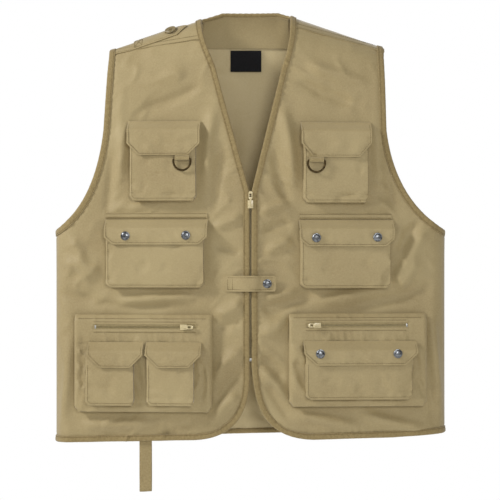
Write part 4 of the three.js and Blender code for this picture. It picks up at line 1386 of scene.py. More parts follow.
BAGS = {
    "right_chest": ("right", 31, RIGHT_CHEST_CREASES, 2.2),
    "right_waist": ("right", 33, RIGHT_WAIST_CREASES, 2.4),
    "right_outer": ("right", 35, (), 2.0),
    "right_inner": ("right", 37, (), 2.0),
    "left_chest": ("left", 41, LEFT_CHEST_CREASES, 2.2),
    "left_waist": ("left", 43, LEFT_WAIST_CREASES, 2.4),
    "left_cargo": ("left", 45, (), 2.2),
}
FLAP_CORNERS = {"right_chest": (19, 19), "left_chest": (19, 22), "right_waist": (14, 12),
                "left_waist": (14, 12), "right_outer": (20, 20), "right_inner": (20, 20),
                "left_cargo": (20, 19)}


class Threads:
    """The stitch lines that each body carries, gathered while its pieces are made."""

    def __init__(self):
        self.lines = {}

    def add(self, body, *lines):
        self.lines.setdefault(body, []).extend(lines)


THREADS = Threads()


def under(xs, heights):
    """The area between a line of heights and its baseline."""
    return float(np.sum((heights[1:] + heights[:-1]) / 2 * np.diff(xs)))


def cut_size(ring):
    """A flat outline's width, length and area, as the keywords that settle() takes."""
    width, length = ring.max(0) - ring.min(0)
    x, y = ring[:, 0], ring[:, 1]
    area = 0.5 * abs(np.dot(x, np.roll(y, -1)) - np.dot(y, np.roll(x, -1)))
    return {"cut": (width, length), "area": min(area, width * length)}


def surface_line(points, part, off, back=False):
    """A line in width and height laid on a part's draped cloth, with its normals."""
    line = resample(np.array(points, float), 3)
    plan = walked(line, back)
    flat, _ = surface(plan[:, 0], plan[:, 1])
    out = drape(flat[:, 0], flat[:, 2], part)
    return surface(plan[:, 0], plan[:, 1], out + off)


def make_back():
    ring = back_outline()
    right, left = EDGES["right"], EDGES["left"]
    seam = [np.array(e["seam"], float) for e in (right, left)]

    def proud(flat, points):
        lift = np.zeros(len(points))
        front = points[:, 1] < 0
        for line in seam:
            distance = nearest(flat[:, [0, 2]], resample(line, 6))[0]
            lift = lift + front * 1.1 * np.exp(-((distance / 26) ** 2))
        rib = nearest(flat[:, [0, 2]], resample(seam[0], 6))[0]
        rib = np.minimum(rib, nearest(flat[:, [0, 2]], resample(seam[1], 6))[0])
        lift = lift + front * 0.45 * np.exp(-(((rib - 2.0) / 1.8) ** 2))
        for line in (right["back_armhole"], left["back_armhole"]):
            distance, along, _ = nearest(flat[:, [0, 2]], resample(line, 8))
            far = np.maximum(distance - BINDING, 0)
            sunk = 1.1 * np.clip((BINDING + 1.5 - distance) / 3, 0, 1)
            lift = lift + (points[:, 1] > 0) * (pucker(far, along, 9, 0.6) * (far > 0) - sunk)
        return lift

    obj = shell_sheet("back_cloth", ring, 5.0, "back", calm=proud)
    thicken(obj, 1.1)
    smooth(obj, 60)
    settle(obj, "back", "twill", MATERIALS["twill"], "back_panel", held="hung",
           **cut_size(ring))
    line_inside(obj)
    tape, stitch, normal = bound_edge("neck_tape", scoop(60), "back", turn=-1,
                                      walked_line=True, seed=2)
    settle(tape, "back", "tape", MATERIALS["tape"], "neck_binding")
    THREADS.add("back", (stitch, normal))
    hem = np.array([(-HALF_CHEST, right["hem"]), (0, -692), (HALF_CHEST, left["hem"])], float)
    tape, stitch, normal = bound_edge("back_hem_tape", hem, "back", back=True, width=8.0, seed=4)
    settle(tape, "back", "tape", MATERIALS["tape"], "back_hem_binding")
    THREADS.add("back", (stitch, normal))
    for part in FRONTS:
        line = EDGES[part]["back_armhole"]
        tape, stitch, normal = bound_edge(f"{part}_back_armhole_tape", line, "back", back=True,
                                          turn=-FRONTS[part], seed=6)
        settle(tape, "back", "tape", MATERIALS["tape"])
        THREADS.add("back", (stitch, normal))
        yoke_line = np.array(EDGES[part]["seam"], float) + (0, 3.0)
        low = surface_line(yoke_line, "back", 1.6)
        high = surface_line(yoke_line + (0, 6.0), "back", 1.3)
        THREADS.add("back", low, high)
        side_x = FRONTS[part] * (HALF_CHEST - 7)
        seam_line = [(side_x, -372), (side_x, EDGES[part]["hem"] + 10)]
        THREADS.add("back", surface_line(seam_line, "back", 0.1, back=True))
    facing = [(NECK_RIGHT + 3, -56), (NECK_LEFT - 3, -56)]
    THREADS.add("back", surface_line(facing, "back", 0.1, back=True))


def make_front(part):
    side = FRONTS[part]
    e = EDGES[part]
    rim = edge_gathers(e["front"], 50 + side, 1.1)
    arm = edge_gathers(e["armhole"], 60 + side, 0.7)
    obj = shell_sheet(f"{part}_front_cloth", front_outline(part), 4.0, part,
                      calm=lambda flat, points: rim(flat, points) + arm(flat, points))
    thicken(obj, 1.1)
    smooth(obj, 60)
    body = f"{part}_front"
    settle(obj, body, "twill", MATERIALS["twill"], f"{part}_front_panel", across=True,
           held="hung", rests_on=["back_cloth"], **cut_size(front_outline(part)))
    line_inside(obj)
    for name, line, turn, node in (
        (f"{part}_front_edge_tape", e["front"], -side, f"{part}_front_edge_binding"),
        (f"{part}_armhole_tape", e["armhole"], side, f"{part}_armhole_binding"),
    ):
        tape, stitch, normal = bound_edge(name, line, part, turn=turn, seed=7 + side)
        settle(tape, body, "tape", MATERIALS["tape"], node, across=True)
        thread = stitches(f"{name}_stitches", [(stitch, normal)])
        settle(thread, body, "twill", MATERIALS["thread"], across=True)


def make_neck():
    """The facing inside the back neck, and the plain label sewn to it."""
    xs = np.linspace(NECK_RIGHT + 1, NECK_LEFT - 1, 50)
    middle, reach = (NECK_RIGHT + NECK_LEFT) / 2, (NECK_LEFT - NECK_RIGHT) / 2
    rows = []
    for share in np.linspace(0, 1, 16):
        cut = NECK_SCOOP * np.sqrt(np.maximum(0, 1 - ((xs - middle) / reach) ** 2)) + 1.4
        top = SHOULDER_WALK * np.arcsin(np.clip(cut / BACK_DEPTH, 0, 1)) + 4
        low = walk(xs, np.full(len(xs), -55.0), True)
        deep = np.maximum(low, top + 1) - top
        v = top + deep * share
        off = -3.3 + 0.3 * waves(xs, v, 40, 71)
        rows.append(surface(xs, v, off)[0])
    obj = add_mesh("neck_facing_cloth", np.concatenate(rows), grid_faces(16, 50))
    thicken(obj, 1.0, 0.0)
    smooth(obj, 60)
    settle(obj, "back", "twill", MATERIALS["twill"], "neck_facing",
           cut=(NECK_LEFT - NECK_RIGHT, deep.max()), area=under(xs, deep))
    low, high = (np.array(c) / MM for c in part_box("size_label"))
    us = np.linspace(low[0], high[0], 24)
    vs = np.linspace(low[2], high[2], 16)
    gx, gz = np.meshgrid(us, vs)
    y = (low[1] + high[1]) / 2 + 0.35 * waves(gx, gz, 30, 73)
    obj = add_mesh("neck_label", np.stack([gx, y, gz], -1).reshape(-1, 3), grid_faces(16, 24))
    thicken(obj, 0.6, 0.0)
    smooth(obj, 60)
    settle(obj, "back", "label", MATERIALS["label"], "size_label",
           cut=(high[0] - low[0], high[2] - low[2]))
    frame_line = [(low[0] + 2, low[2] + 2), (high[0] - 2, low[2] + 2), (high[0] - 2, high[2] - 2),
                  (low[0] + 2, high[2] - 2), (low[0] + 2, low[2] + 2)]
    line = resample(np.array(frame_line), 3)
    y = (low[1] + high[1]) / 2 + 0.35 * waves(line[:, 0], line[:, 1], 30, 73) - 0.4
    pts = np.stack([line[:, 0], y, line[:, 1]], -1)
    forward = np.tile([[0.0, -1.0, 0.0]], (len(pts), 1))
    thread = stitches("label_stitches", [(pts, forward)], 2.6, 1.8, 0.4)
    settle(thread, "back", "label", MATERIALS["label"])


def make_pockets(part):
    side = FRONTS[part]
    body = f"{part}_front"
    seeds = {"right": 81, "left": 91}[part]
    creases = {"right": RIGHT_LOWER_CREASES, "left": LEFT_LOWER_CREASES}[part]
    obj, lines, slot = zipped_pouch(f"{part}_lower_pouch", f"{part}_lower_pocket",
                                    f"{part}_lower_zip", side, seeds, creases)
    low, high = own_box(f"{part}_lower_pocket", side)
    settle(obj, body, "twill", MATERIALS["twill"], f"{part}_lower_pocket",
           cut=(high[0] - low[0] + POUCH_WALLS, high[2] - low[2] + POUCH_WALLS))
    THREADS.add(body, *lines)
    slot_low, slot_high, face = slot
    z = (slot_low[2] + slot_high[2]) / 2
    strip = zip_tape_strip(f"{part}_lower_tape", slot_low[0], slot_high[0], z, 4.4, face + 1.0,
                           side)
    settle(strip, body, "zip", MATERIALS["zip_tape"], f"{part}_lower_zip")
    row = teeth(f"{part}_lower_teeth", slot_high[0] - slot_low[0] - 8, 1.7, 1.1, 3.2, 0.95)
    middle = (slot_low[0] + slot_high[0]) / 2
    bake(row, own_matrix(side, middle, face + 1.0, z))
    settle(row, body, "zip", MATERIALS["zip_teeth"])
    far = slot_low[0] + 3.2 if side < 0 else slot_high[0] - 3.2
    stop = box_piece((2.6, 1.5, 5.4), (0, 0, 0), 0.4)
    stop.name = f"{part}_lower_stop"
    smooth(stop)
    bake(stop, own_matrix(side, far, face + 0.4, z))
    settle(stop, body, "zip", MATERIALS["steel"])
    for name, (owner, seed, folds, sag) in BAGS.items():
        if owner != part:
            continue
        obj, box = bag(f"{name}_bag", f"{name}_pocket", side, seed, folds, sag)
        wide, high = box[1][0] - box[0][0], box[1][1] - box[0][1]
        settle(obj, body, "twill", MATERIALS["twill"], f"{name}_pocket",
               cut=(wide + BAG_WALLS[0], high + BAG_WALLS[1]))
        obj, lines = flap(f"{name}_lid", f"{name}_flap", side, seed + 50, FLAP_CORNERS[name])
        low, high = own_box(f"{name}_flap", side)
        settle(obj, f"{name}_flap", "twill", MATERIALS["twill"], f"{name}_flap", held="hung",
               cut=(high[0] - low[0], high[2] - low[2] + FLAP_SLOPE),
               rests_on=[f"{name}_bag"])
        thread = stitches(f"{name}_lid_stitches", lines)
        settle(thread, f"{name}_flap", "twill", MATERIALS["thread"])
        bag_stitches(name, side, body, box)
    waist_band(part, side, body)


def bag_stitches(name, side, body, box):
    """Topstitching near a bag's lower edge and down both of its sides."""
    low = own_box(f"{name}_pocket", side)[0]
    (x0, z0), (x1, z1) = box
    seed, folds, sag = BAGS[name][1:]
    x_low, x_high = x0 + 3.2, x1 - 3.2
    z_low = z0 + 3.4
    corner = [(x_low, z1 - 20), (x_low, z_low + 4), (x_low + 4, z_low), (x_high - 4, z_low),
              (x_high, z_low + 4), (x_high, z1 - 20)]
    line = resample(np.array(corner, float), 3)
    inward = pouch_front(line[:, 0], line[:, 1], box, seed, sag, folds)
    y = low[1] + 0.4 + np.maximum(0, inward + 0.6)
    THREADS.add(body, own_stitches(np.stack([line[:, 0], y - 0.1, line[:, 1]], -1), side))


def waist_band(part, side, body):
    """The narrow folded band sewn over a waist pocket's flap."""
    low, high = own_box(f"{part}_waist_flap", side)
    xs = np.arange(low[0] + 1, high[0] - 0.5, 3.0)
    profile = [(0.6, 0.4), (-0.8, 0.8), (-1.6, 3.0), (-1.9, 6.0), (-1.7, 9.0), (-0.8, 10.8),
               (0.6, 11.2)]
    rows = []
    for y, rise in profile:
        lift = 0.35 * waves(xs, np.full(len(xs), rise), 34, 17)
        rows.append(np.stack([xs, y - lift, high[2] + rise + 0.6 * lift], -1))
    obj = front_sheet(f"{part}_waist_band", np.concatenate(rows),
                      grid_faces(len(profile), len(xs)), side, 0.8, 60)
    settle(obj, body, "twill", MATERIALS["twill"], cut=(high[0] - low[0], BAND_DEEP),
           held="folded")
    for rise in (3.0, 9.0):
        line = np.stack([xs, np.full(len(xs), -2.1) - 0.35 * waves(xs, xs * 0 + rise, 34, 17),
                         np.full(len(xs), high[2] + rise)], -1)
        THREADS.add(body, own_stitches(line, side))


# ---------------------------------------------------------------- fastenings


def lathe(name, profile, sides=36):
    """A turned shape from (radius, height) pairs, standing forwards along -Y."""
    turn = np.linspace(0, 2 * math.pi, sides, endpoint=False)
    rows = [np.stack([r * np.cos(turn), np.full(sides, -h), r * np.sin(turn)], -1)
            for r, h in profile]
    faces = grid_faces(len(profile), sides, closed=True)
    faces.append(list(range(sides)))
    faces.append(list(range((len(profile) - 1) * sides, len(profile) * sides))[::-1])
    obj = add_mesh(name, np.concatenate(rows), faces)
    outward(obj)
    return obj


def make_main_zip():
    for part, side in FRONTS.items():
        low, high = own_box(f"{part}_zip_tape", side)
        inner, outer = side * 2.2, (high[0] if side > 0 else low[0])
        xs = np.linspace(inner, outer, 8)
        zs = np.arange(low[2], high[2] + 0.1, 2.0)
        gx, gz = np.meshgrid(xs, zs)
        y = 3.3 + 0.15 * np.sin(gx * 2.4)
        obj = front_sheet(f"{part}_main_tape", np.stack([gx, y, gz], -1).reshape(-1, 3),
                          grid_faces(len(zs), len(xs)), side, 0.9)
        body = f"{part}_front"
        settle(obj, body, "zip", MATERIALS["zip_tape"], f"{part}_zip_tape",
               cut=(abs(outer - inner), high[2] - low[2]))
        pitch = 2.6
        points, faces = [], []
        for z in np.arange(low[2] + 4 + (side > 0) * pitch / 2, high[2] - 1, pitch):
            first = len(points)
            x0, x1 = sorted((-side * 0.5, side * 2.6))
            for y, shrink in ((3.4, 0.0), (2.1, 0.2)):
                points += [(x0 + shrink, y, z - 0.6 + shrink), (x1 - shrink, y, z - 0.6 + shrink),
                           (x1 - shrink, y, z + 0.6 - shrink), (x0 + shrink, y, z + 0.6 - shrink)]
            faces += [(first, first + 1, first + 5, first + 4),
                      (first + 1, first + 2, first + 6, first + 5),
                      (first + 2, first + 3, first + 7, first + 6),
                      (first + 3, first, first + 4, first + 7),
                      (first + 4, first + 5, first + 6, first + 7),
                      (first + 3, first + 2, first + 1, first)]
        row = add_mesh(f"{part}_main_teeth", front_frame(points, side), faces)
        settle(row, body, "zip", MATERIALS["zip_teeth"])
    stop = box_piece((4.2, 3.0, 5.0), (0, 0.6, 0), 0.7, 3)
    stop.name = "main_zip_stop"
    smooth(stop)
    bake(stop, own_matrix(-1, -0.2, 0, ZIP_FOOT + 3.5))
    settle(stop, "right_front", "zip", MATERIALS["steel"])


def make_sliders():
    low, high = own_box("main_slider", 0)
    shell = slider_shell("main_slider_shell", high[2] - low[2], high[0] - low[0], 2.6)
    up = Matrix.Rotation(-math.pi / 2, 4, "Y")
    bake(shell, own_matrix(0, 0, -1.4, (low[2] + high[2]) / 2) @ up)
    settle(shell, "main_slider", "slider", MATERIALS["enamel"], "main_slider")
    low, high = own_box("main_pull", 0)
    shell = pull_shell("main_pull_shell", high[2] - low[2] - 0.6, high[0] - low[0])
    bake(shell, own_matrix(0, 0, (low[1] + high[1]) / 2, low[2] + 0.6) @ up)
    settle(shell, "main_pull", "slider", MATERIALS["enamel"], "main_pull")
    for part, side in FRONTS.items():
        heading = Matrix.Rotation(0 if side < 0 else math.pi, 4, "Y")
        low, high = own_box(f"{part}_lower_slider", side)
        middle = (low[0] + high[0]) / 2, high[1], (low[2] + high[2]) / 2
        shell = slider_shell(f"{part}_lower_slider_shell", 11.0, 8.6, 3.0)
        bake(shell, own_matrix(side, *middle) @ heading)
        settle(shell, f"{part}_lower_slider", "slider", MATERIALS["enamel"],
               f"{part}_lower_slider")
        low, high = own_box(f"{part}_lower_pull", side)
        eye = low[0] + 0.6 if side < 0 else high[0] - 0.6
        shell = pull_shell(f"{part}_lower_pull_shell", high[0] - low[0] - 0.6, high[2] - low[2])
        place = own_matrix(side, eye, (low[1] + high[1]) / 2, (low[2] + high[2]) / 2)
        bake(shell, place @ heading)
        settle(shell, f"{part}_lower_pull", "slider", MATERIALS["enamel"], f"{part}_lower_pull")


def make_snaps():
    for node in sorted(frame["nodes"]):
        if not node.endswith(("_cap", "_stud")):
            continue
        side = {"right": -1, "left": 1}.get(node.split("_")[0], 0)
        low, high = own_box(node, side)
        x, z = (low[0] + high[0]) / 2, (low[2] + high[2]) / 2
        if node.endswith("_cap"):
            obj = snap_cap(f"{node}_dome", side, x, high[1] + 0.25, z)
        else:
            obj = snap_stud(f"{node}_post", side, x, high[1] + 0.5, z)
        body = body_of(frame["nodes"][node])[0]
        settle(obj, body, "snap", MATERIALS["gunmetal"], node)


def make_rings():
    for part, side in FRONTS.items():
        low, high = own_box(f"{part}_d_ring", side)
        x, y = (low[0] + high[0]) / 2, (low[1] + high[1]) / 2
        r = (high[1] - low[1]) / 2
        bar, foot = high[2] - r, low[2] + r
        half = (high[0] - low[0]) / 2 - r
        knee = bar - 4.0
        turn = np.linspace(math.pi, 2 * math.pi, 40)
        arc = np.stack([x + half * np.cos(turn), np.full(40, y),
                        knee + (knee - foot) * np.sin(turn)], -1)
        bend = np.linspace(0, math.pi / 2, 6)
        right = np.stack([x + half - 2.5 + 2.5 * np.cos(bend), np.full(6, y),
                          bar - 2.5 + 2.5 * np.sin(bend)], -1)
        bar_line = np.stack([np.linspace(x + half - 3.5, x - half + 3.5, 14), np.full(14, y),
                             np.full(14, bar)], -1)
        left = right[::-1] * (-1, 1, 1) + (2 * x, 0, 0)
        line = np.concatenate([arc, right, bar_line, left])
        obj = wire(f"{part}_ring_wire", front_frame(line, side), r, closed=True, sides=14)
        settle(obj, f"{part}_d_ring", "ring", MATERIALS["antique"], f"{part}_d_ring")
        low, high = own_box(f"{part}_ring_tab", side)
        back, top = high[1] - 0.25, high[2]
        eye = 3.1
        around_bar = np.linspace(0, math.pi, 12)
        loop = [(back, top), (back, bar + 12), (back - 0.2, bar + 5)]
        loop += [(y + eye * math.cos(a), bar - eye * math.sin(a)) for a in around_bar]
        loop += [(y - eye + 0.3, bar + 2.4), (back - 1.1, bar + 6), (back - 0.95, bar + 9),
                 (back - 0.95, top)]
        strip(f"{part}_ring_webbing", np.array(loop), low[0] + 0.2, high[0] - 0.2, side,
              f"{part}_front", "tape", MATERIALS["webbing"], f"{part}_ring_tab", 0.9,
              waver=0.05)
        row = [(px, back - 1.55, bar + 6.5) for px in np.arange(low[0] + 2, high[0] - 1, 2.0)]
        THREADS.add(f"{part}_front", own_stitches(row, side))


def strip(name, profile, left, right, side, body, slot, material, node, thickness, held="folded",
          waver=0.25):
    """A band of cloth along X whose profile in y and z may fold back on itself."""
    dense = resample(profile, 1.6)
    run = distances(dense)
    xs = np.linspace(left, right, max(6, int((right - left) / 2.0)))
    tangent = np.gradient(dense, axis=0)
    tangent /= np.linalg.norm(tangent, axis=1, keepdims=True)
    normal = np.stack([tangent[:, 1], -tangent[:, 0]], -1)
    rows = []
    for x in xs:
        off = waver * waves(np.full(len(run), x), run, 26, 19)
        place = dense + normal * off[:, None]
        rows.append(np.stack([np.full(len(run), x), place[:, 0], place[:, 1]], -1))
    pts = front_frame(np.concatenate(rows), side)
    obj = add_mesh(name, pts, grid_faces(len(xs), len(run)))
    thicken(obj, thickness, 0.0)
    outward(obj)
    smooth(obj, 60)
    settle(obj, body, slot, material, node, cut=(max(run[-1], 10.5), right - left), held=held)
    return obj


def make_hem_loop():
    low, high = own_box("hem_loop", -1)
    front, back, top, foot = low[1] + 0.75, high[1] - 0.75, high[2], low[2] + 0.75
    half, middle = (back - front) / 2, (back + front) / 2
    turn = np.linspace(math.pi, 2 * math.pi, 12)
    loop = [(front, top), (front - 0.4, (top + foot) / 2)]
    loop += [(middle + half * math.cos(a), foot + half + half * math.sin(a)) for a in turn]
    loop += [(back + 0.2, (top + foot) / 2), (back - 2.5, top)]
    strip("hem_loop_webbing", np.array(loop), low[0] + 0.3, high[0] - 0.3, -1, "hem_loop", "tape",
          MATERIALS["webbing"], "hem_loop", 1.3, waver=0.6)


def make_tab():
    """The tab over the zip: sewn down at its right end, snapped at its left."""
    low, high = own_box("closure_tab", 0)
    bulge = np.array([(-41, -50.2), (-31, -51), (-14, -57.6), (0, -59.2), (10, -58.4),
                      (17, -54.2), (41, -54.2)], float) - (0, 0.75)
    curve = resample(chaikin(bulge), 2.0)
    zs = np.linspace(low[2] + 0.3, high[2] - 0.3, 15)
    rows = []
    middle = zs.mean()
    for z in zs:
        line = curve.copy()
        edge = abs(z - middle) / (high[2] - low[2]) * 2
        soft = 0.35 * waves(line[:, 0], np.full(len(line), z), 24, 77)
        raised = 0.4 * math.exp(-(((edge - 0.9) / 0.09) ** 2))
        raised -= 0.35 * math.exp(-(((edge - 0.76) / 0.06) ** 2))
        line[:, 1] = np.maximum(line[:, 1] - raised - soft, -61.4)
        tip = np.clip((curve[:, 0] - 38) / 3, 0, 1) * edge**4
        rows.append(np.stack([line[:, 0] - 2.0 * tip, line[:, 1] + FRONT_DEPTH,
                              np.full(len(line), z)], -1))
    obj = front_sheet("tab_cloth", np.concatenate(rows), grid_faces(len(zs), len(curve)), 0,
                      1.4, 60, 0.0)
    run = np.linalg.norm(np.diff(curve, axis=0), axis=1).sum()
    settle(obj, "closure_tab", "twill", MATERIALS["twill"], "closure_tab",
           cut=(run, high[2] - low[2]), held="stretched")
    lines = []
    for z in (low[2] + 3.4, high[2] - 3.4):
        line = np.stack([curve[:, 0], curve[:, 1] + FRONT_DEPTH - 0.75,
                         np.full(len(curve), z)], -1)
        lines.append(own_stitches(line[2:-2], 0))
    for x in (-37.0, -29.0):
        y = np.interp(x, curve[:, 0], curve[:, 1]) + FRONT_DEPTH - 0.9
        across = [(x, y, z) for z in np.arange(low[2] + 3, high[2] - 2, 2.5)]
        lines.append(own_stitches(across, 0))
    thread = stitches("tab_stitches", lines)
    settle(thread, "closure_tab", "twill", MATERIALS["thread"])


def chaikin(line, rounds=2):
    """Rounds the corners of a polyline."""
    for _ in range(rounds):
        cut = np.stack([line[:-1] * 0.75 + line[1:] * 0.25, line[:-1] * 0.25 + line[1:] * 0.75], 1)
        line = np.concatenate([line[:1], cut.reshape(-1, line.shape[1]), line[-1:]])
    return line


STRAP_MIDDLE = -20.2  # walk of the strap's middle line, in front of the shoulder
STRAP_HALF = 16.4
STRAP_SEWN = -190.0
STRAP_POINT = -119.0
STRAP_TIP = -103.0
BUTTON_X = -129.0


def make_strap():
    xs = np.concatenate([np.arange(STRAP_SEWN, STRAP_POINT, 2.0),
                         np.linspace(STRAP_POINT, STRAP_TIP, 11)])
    reach = STRAP_HALF * np.clip(0.06 + 0.94 * (STRAP_TIP - xs) / (STRAP_TIP - STRAP_POINT), 0, 1)
    slit = (BUTTON_X - 10, BUTTON_X + 10)
    opened = 0.75 * np.sqrt(np.clip(1 - ((xs - BUTTON_X) / 10.5) ** 2, 0, 1))
    shares = np.linspace(0, 1, 8)
    rows = [-(opened + (reach - opened) * (1 - k)) for k in shares]
    rows += [opened + (reach - opened) * k for k in shares]
    count = len(xs)
    pts = []
    for row in rows:
        v = STRAP_MIDDLE + row
        edge = np.abs(row) / STRAP_HALF
        raised = 0.4 * np.exp(-(((np.abs(np.abs(row) - reach) - 1.6) / 1.2) ** 2))
        off = 2.55 + raised + 0.25 * waves(xs, v, 30, 15) * (1 - edge**8)
        pts.append(surface(xs, v, off)[0])
    faces = []
    for i in range(len(rows) - 1):
        for j in range(count - 1):
            middle = (xs[j] + xs[j + 1]) / 2
            if i == 7 and slit[0] < middle < slit[1]:
                continue
            faces.append((i * count + j, i * count + j + 1, (i + 1) * count + j + 1,
                          (i + 1) * count + j))
    obj = add_mesh("strap_cloth", np.concatenate(pts), faces)
    activate(obj)
    bpy.ops.object.mode_set(mode="EDIT")
    bpy.ops.mesh.select_all(action="SELECT")
    bpy.ops.mesh.remove_doubles(threshold=0.05 * MM)
    bpy.ops.object.mode_set(mode="OBJECT")
    if sum((f.normal.z * f.area for f in obj.data.polygons)) < 0:
        obj.data.flip_normals()
    thicken(obj, 1.3)
    smooth(obj, 60)
    settle(obj, "shoulder_strap", "twill", MATERIALS["twill"], "shoulder_strap",
           cut=(STRAP_TIP - STRAP_SEWN, 2 * STRAP_HALF), area=2 * under(xs, reach),
           held="stretched")
    outline = np.array([(STRAP_SEWN + 1, -1), (STRAP_POINT - 1, -1), (STRAP_TIP - 3.5, 0),
                        (STRAP_POINT - 1, 1), (STRAP_SEWN + 1, 1)], float)
    outline = resample(outline * (1, STRAP_HALF - 3.0), 2.5)
    lines = [surface(outline[:, 0], STRAP_MIDDLE + outline[:, 1], 2.75)]
    box = np.array([(-188, -13), (-176, -13), (-176, 13), (-188, 13), (-188, -13)], float)
    for corner in (box, box[[0, 2]], box[[1, 3]]):
        line = resample(corner, 2.5)
        lines.append(surface(line[:, 0], STRAP_MIDDLE + line[:, 1], 2.8))
    satin = []
    for s in (-1, 1):
        x = np.linspace(slit[0], slit[1], 30)
        satin.append(surface(x, np.full(30, STRAP_MIDDLE + 1.5 * s), 2.8))
    obj = join("strap_stitches", [stitches("strap_topstitch", lines),
                                  stitches("buttonhole_stitch", satin, 0.9, 0.7, 1.0)])
    settle(obj, "shoulder_strap", "twill", MATERIALS["thread"])


def make_button():
    """A four-hole button with a thread shank, standing on the yoke."""
    profile = [(0.01, 3.2), (9.2, 3.2), (9.9, 3.7), (10.0, 4.6), (9.6, 5.4), (8.8, 5.8),
               (8.0, 5.6), (7.2, 5.0), (4.0, 4.8), (0.01, 4.8)]
    obj = lathe("button_resin", profile, 44)
    hole = 1.8  # from the button's middle to a hole's, across and up
    for x in (-hole, hole):
        for z in (-hole, hole):
            drill = disc(0.85, 8, 0, 14)
            bake(drill, Matrix.Translation((x * MM, 0, z * MM)))
            activate(obj)
            modifier = obj.modifiers.new("Hole", "BOOLEAN")
            modifier.operation = "DIFFERENCE"
            modifier.object = drill
            bpy.ops.object.modifier_apply(modifier=modifier.name)
            bpy.data.objects.remove(drill)
    smooth(obj, 40)
    seat, normal = surface(np.array([BUTTON_X]), np.array([STRAP_MIDDLE]), 0.5)
    turn = Vector((0, -1, 0)).rotation_difference(Vector(normal[0].tolist())).to_matrix().to_4x4()
    place = Matrix.Translation((seat[0] * MM).tolist()) @ turn
    bake(obj, place)
    settle(obj, "back", "button", MATERIALS["resin"], "strap_button")
    low_end, high_end = (-hole, -5.05, -hole), (hole, -5.05, hole)
    cross = [wire("thread_a", [low_end, (0, -5.6, 0), high_end], 0.45, sides=6),
             wire("thread_b", [(-hole, -5.05, hole), (0, -5.7, 0), (hole, -5.05, -hole)], 0.45,
                  sides=6),
             wire("shank", [(0, 0.6, 0), (0, -1.5, 0), (0, -3.4, 0)], 1.6, sides=10)]
    thread = join("button_thread", cross)
    bake(thread, place)
    settle(thread, "back", "button", MATERIALS["thread"])


def make_threads():
    """One object of stitches for each body that carries any."""
    for body, lines in THREADS.lines.items():
        obj = stitches(f"{body}_stitches", lines)
        settle(obj, body, "twill", MATERIALS["thread"])


# ---------------------------------------------------------------- stage


VEST_FRONT = -0.05  # metres; the plane that the frame's width is measured at
FLOOR_RADIUS = 11  # metres; its far edge stays out of the straight-on view
FLOOR_HEIGHT = -1.5 - 0.79
FLOOR_GLOW = 0.42


def make_stage(stage):
    camera = bpy.data.cameras.new("camera")
    camera.lens = 36.0 * stage.camera_distance / stage.frame_width
    camera.clip_end = 100
    eye = bpy.data.objects.new("camera", camera)
    bpy.context.scene.collection.objects.link(eye)
    eye.location = (-0.0008, VEST_FRONT - stage.camera_distance, -0.3887)
    eye.rotation_euler = (math.pi / 2, 0, 0)
    bpy.context.scene.camera = eye
    deselect()
    bpy.ops.mesh.primitive_circle_add(vertices=96, radius=FLOOR_RADIUS, fill_type="NGON",
                                      location=(0, 0, FLOOR_HEIGHT))
    floor = bpy.context.active_object
    floor.name = "floor"
    paper, tree, shader, _ = new_material("white_paper")
    shader.inputs["Base Color"].default_value = linear("#f0f0ee")
    shader.inputs["Roughness"].default_value = 0.9
    shader.inputs["Emission Color"].default_value = linear("#ffffff")
    shader.inputs["Emission Strength"].default_value = FLOOR_GLOW
    floor.data.materials.append(paper)
    middle = Vector((0, 0, -0.38))
    for name, place, size, power in (
        ("key_light", (-2.3, -1.0, 1.1), 0.5, stage.key_power),
        ("fill_light", (0.5, -3.2, 0.3), 1.0, stage.fill_power),
        ("back_light", (0.4, 2.6, 1.2), 1.8, stage.back_power),
    ):
        lamp = bpy.data.lights.new(name, "AREA")
        lamp.size = size
        lamp.energy = power
        obj = bpy.data.objects.new(name, lamp)
        bpy.context.scene.collection.objects.link(obj)
        obj.location = place
        obj.rotation_euler = (middle - obj.location).to_track_quat("-Z", "Y").to_euler()
        obj.visible_camera = False
    world = bpy.data.worlds.new("studio")
    bpy.context.scene.world = world
    world.use_nodes = True
    tree = world.node_tree
    tree.nodes.clear()
    rays = add_node(tree, "ShaderNodeLightPath").outputs["Is Camera Ray"]
    seen = add_node(tree, "ShaderNodeBackground", {"Color": (1, 1, 1, 1), "Strength": 1.0})
    lit = add_node(tree, "ShaderNodeBackground",
                   {"Color": linear("#f4f4f2"), "Strength": stage.ambient})
    both = add_node(tree, "ShaderNodeMixShader", {0: rays, 1: lit.outputs[0], 2: seen.outputs[0]})
    output = add_node(tree, "ShaderNodeOutputWorld")
    tree.links.new(both.outputs[0], output.inputs["Surface"])
    bpy.context.scene.view_settings.view_transform = "Standard"
    bpy.context.scene.view_settings.look = "None"


# ---------------------------------------------------------------- add-on


def colour_property(name, description, code):
    return bpy.props.FloatVectorProperty(name=name, description=description, subtype="COLOR",
                                         size=4, min=0.0, max=1.0, default=linear(code))


class VestColours(bpy.types.PropertyGroup):
    twill: colour_property("Twill", "Colour of the vest's cloth", "#a8966b")
    binding: colour_property("Binding", "Colour of the tape round the edges", "#a08d62")
    webbing: colour_property("Webbing", "Colour of the webbing and the hem loop", "#a8966d")


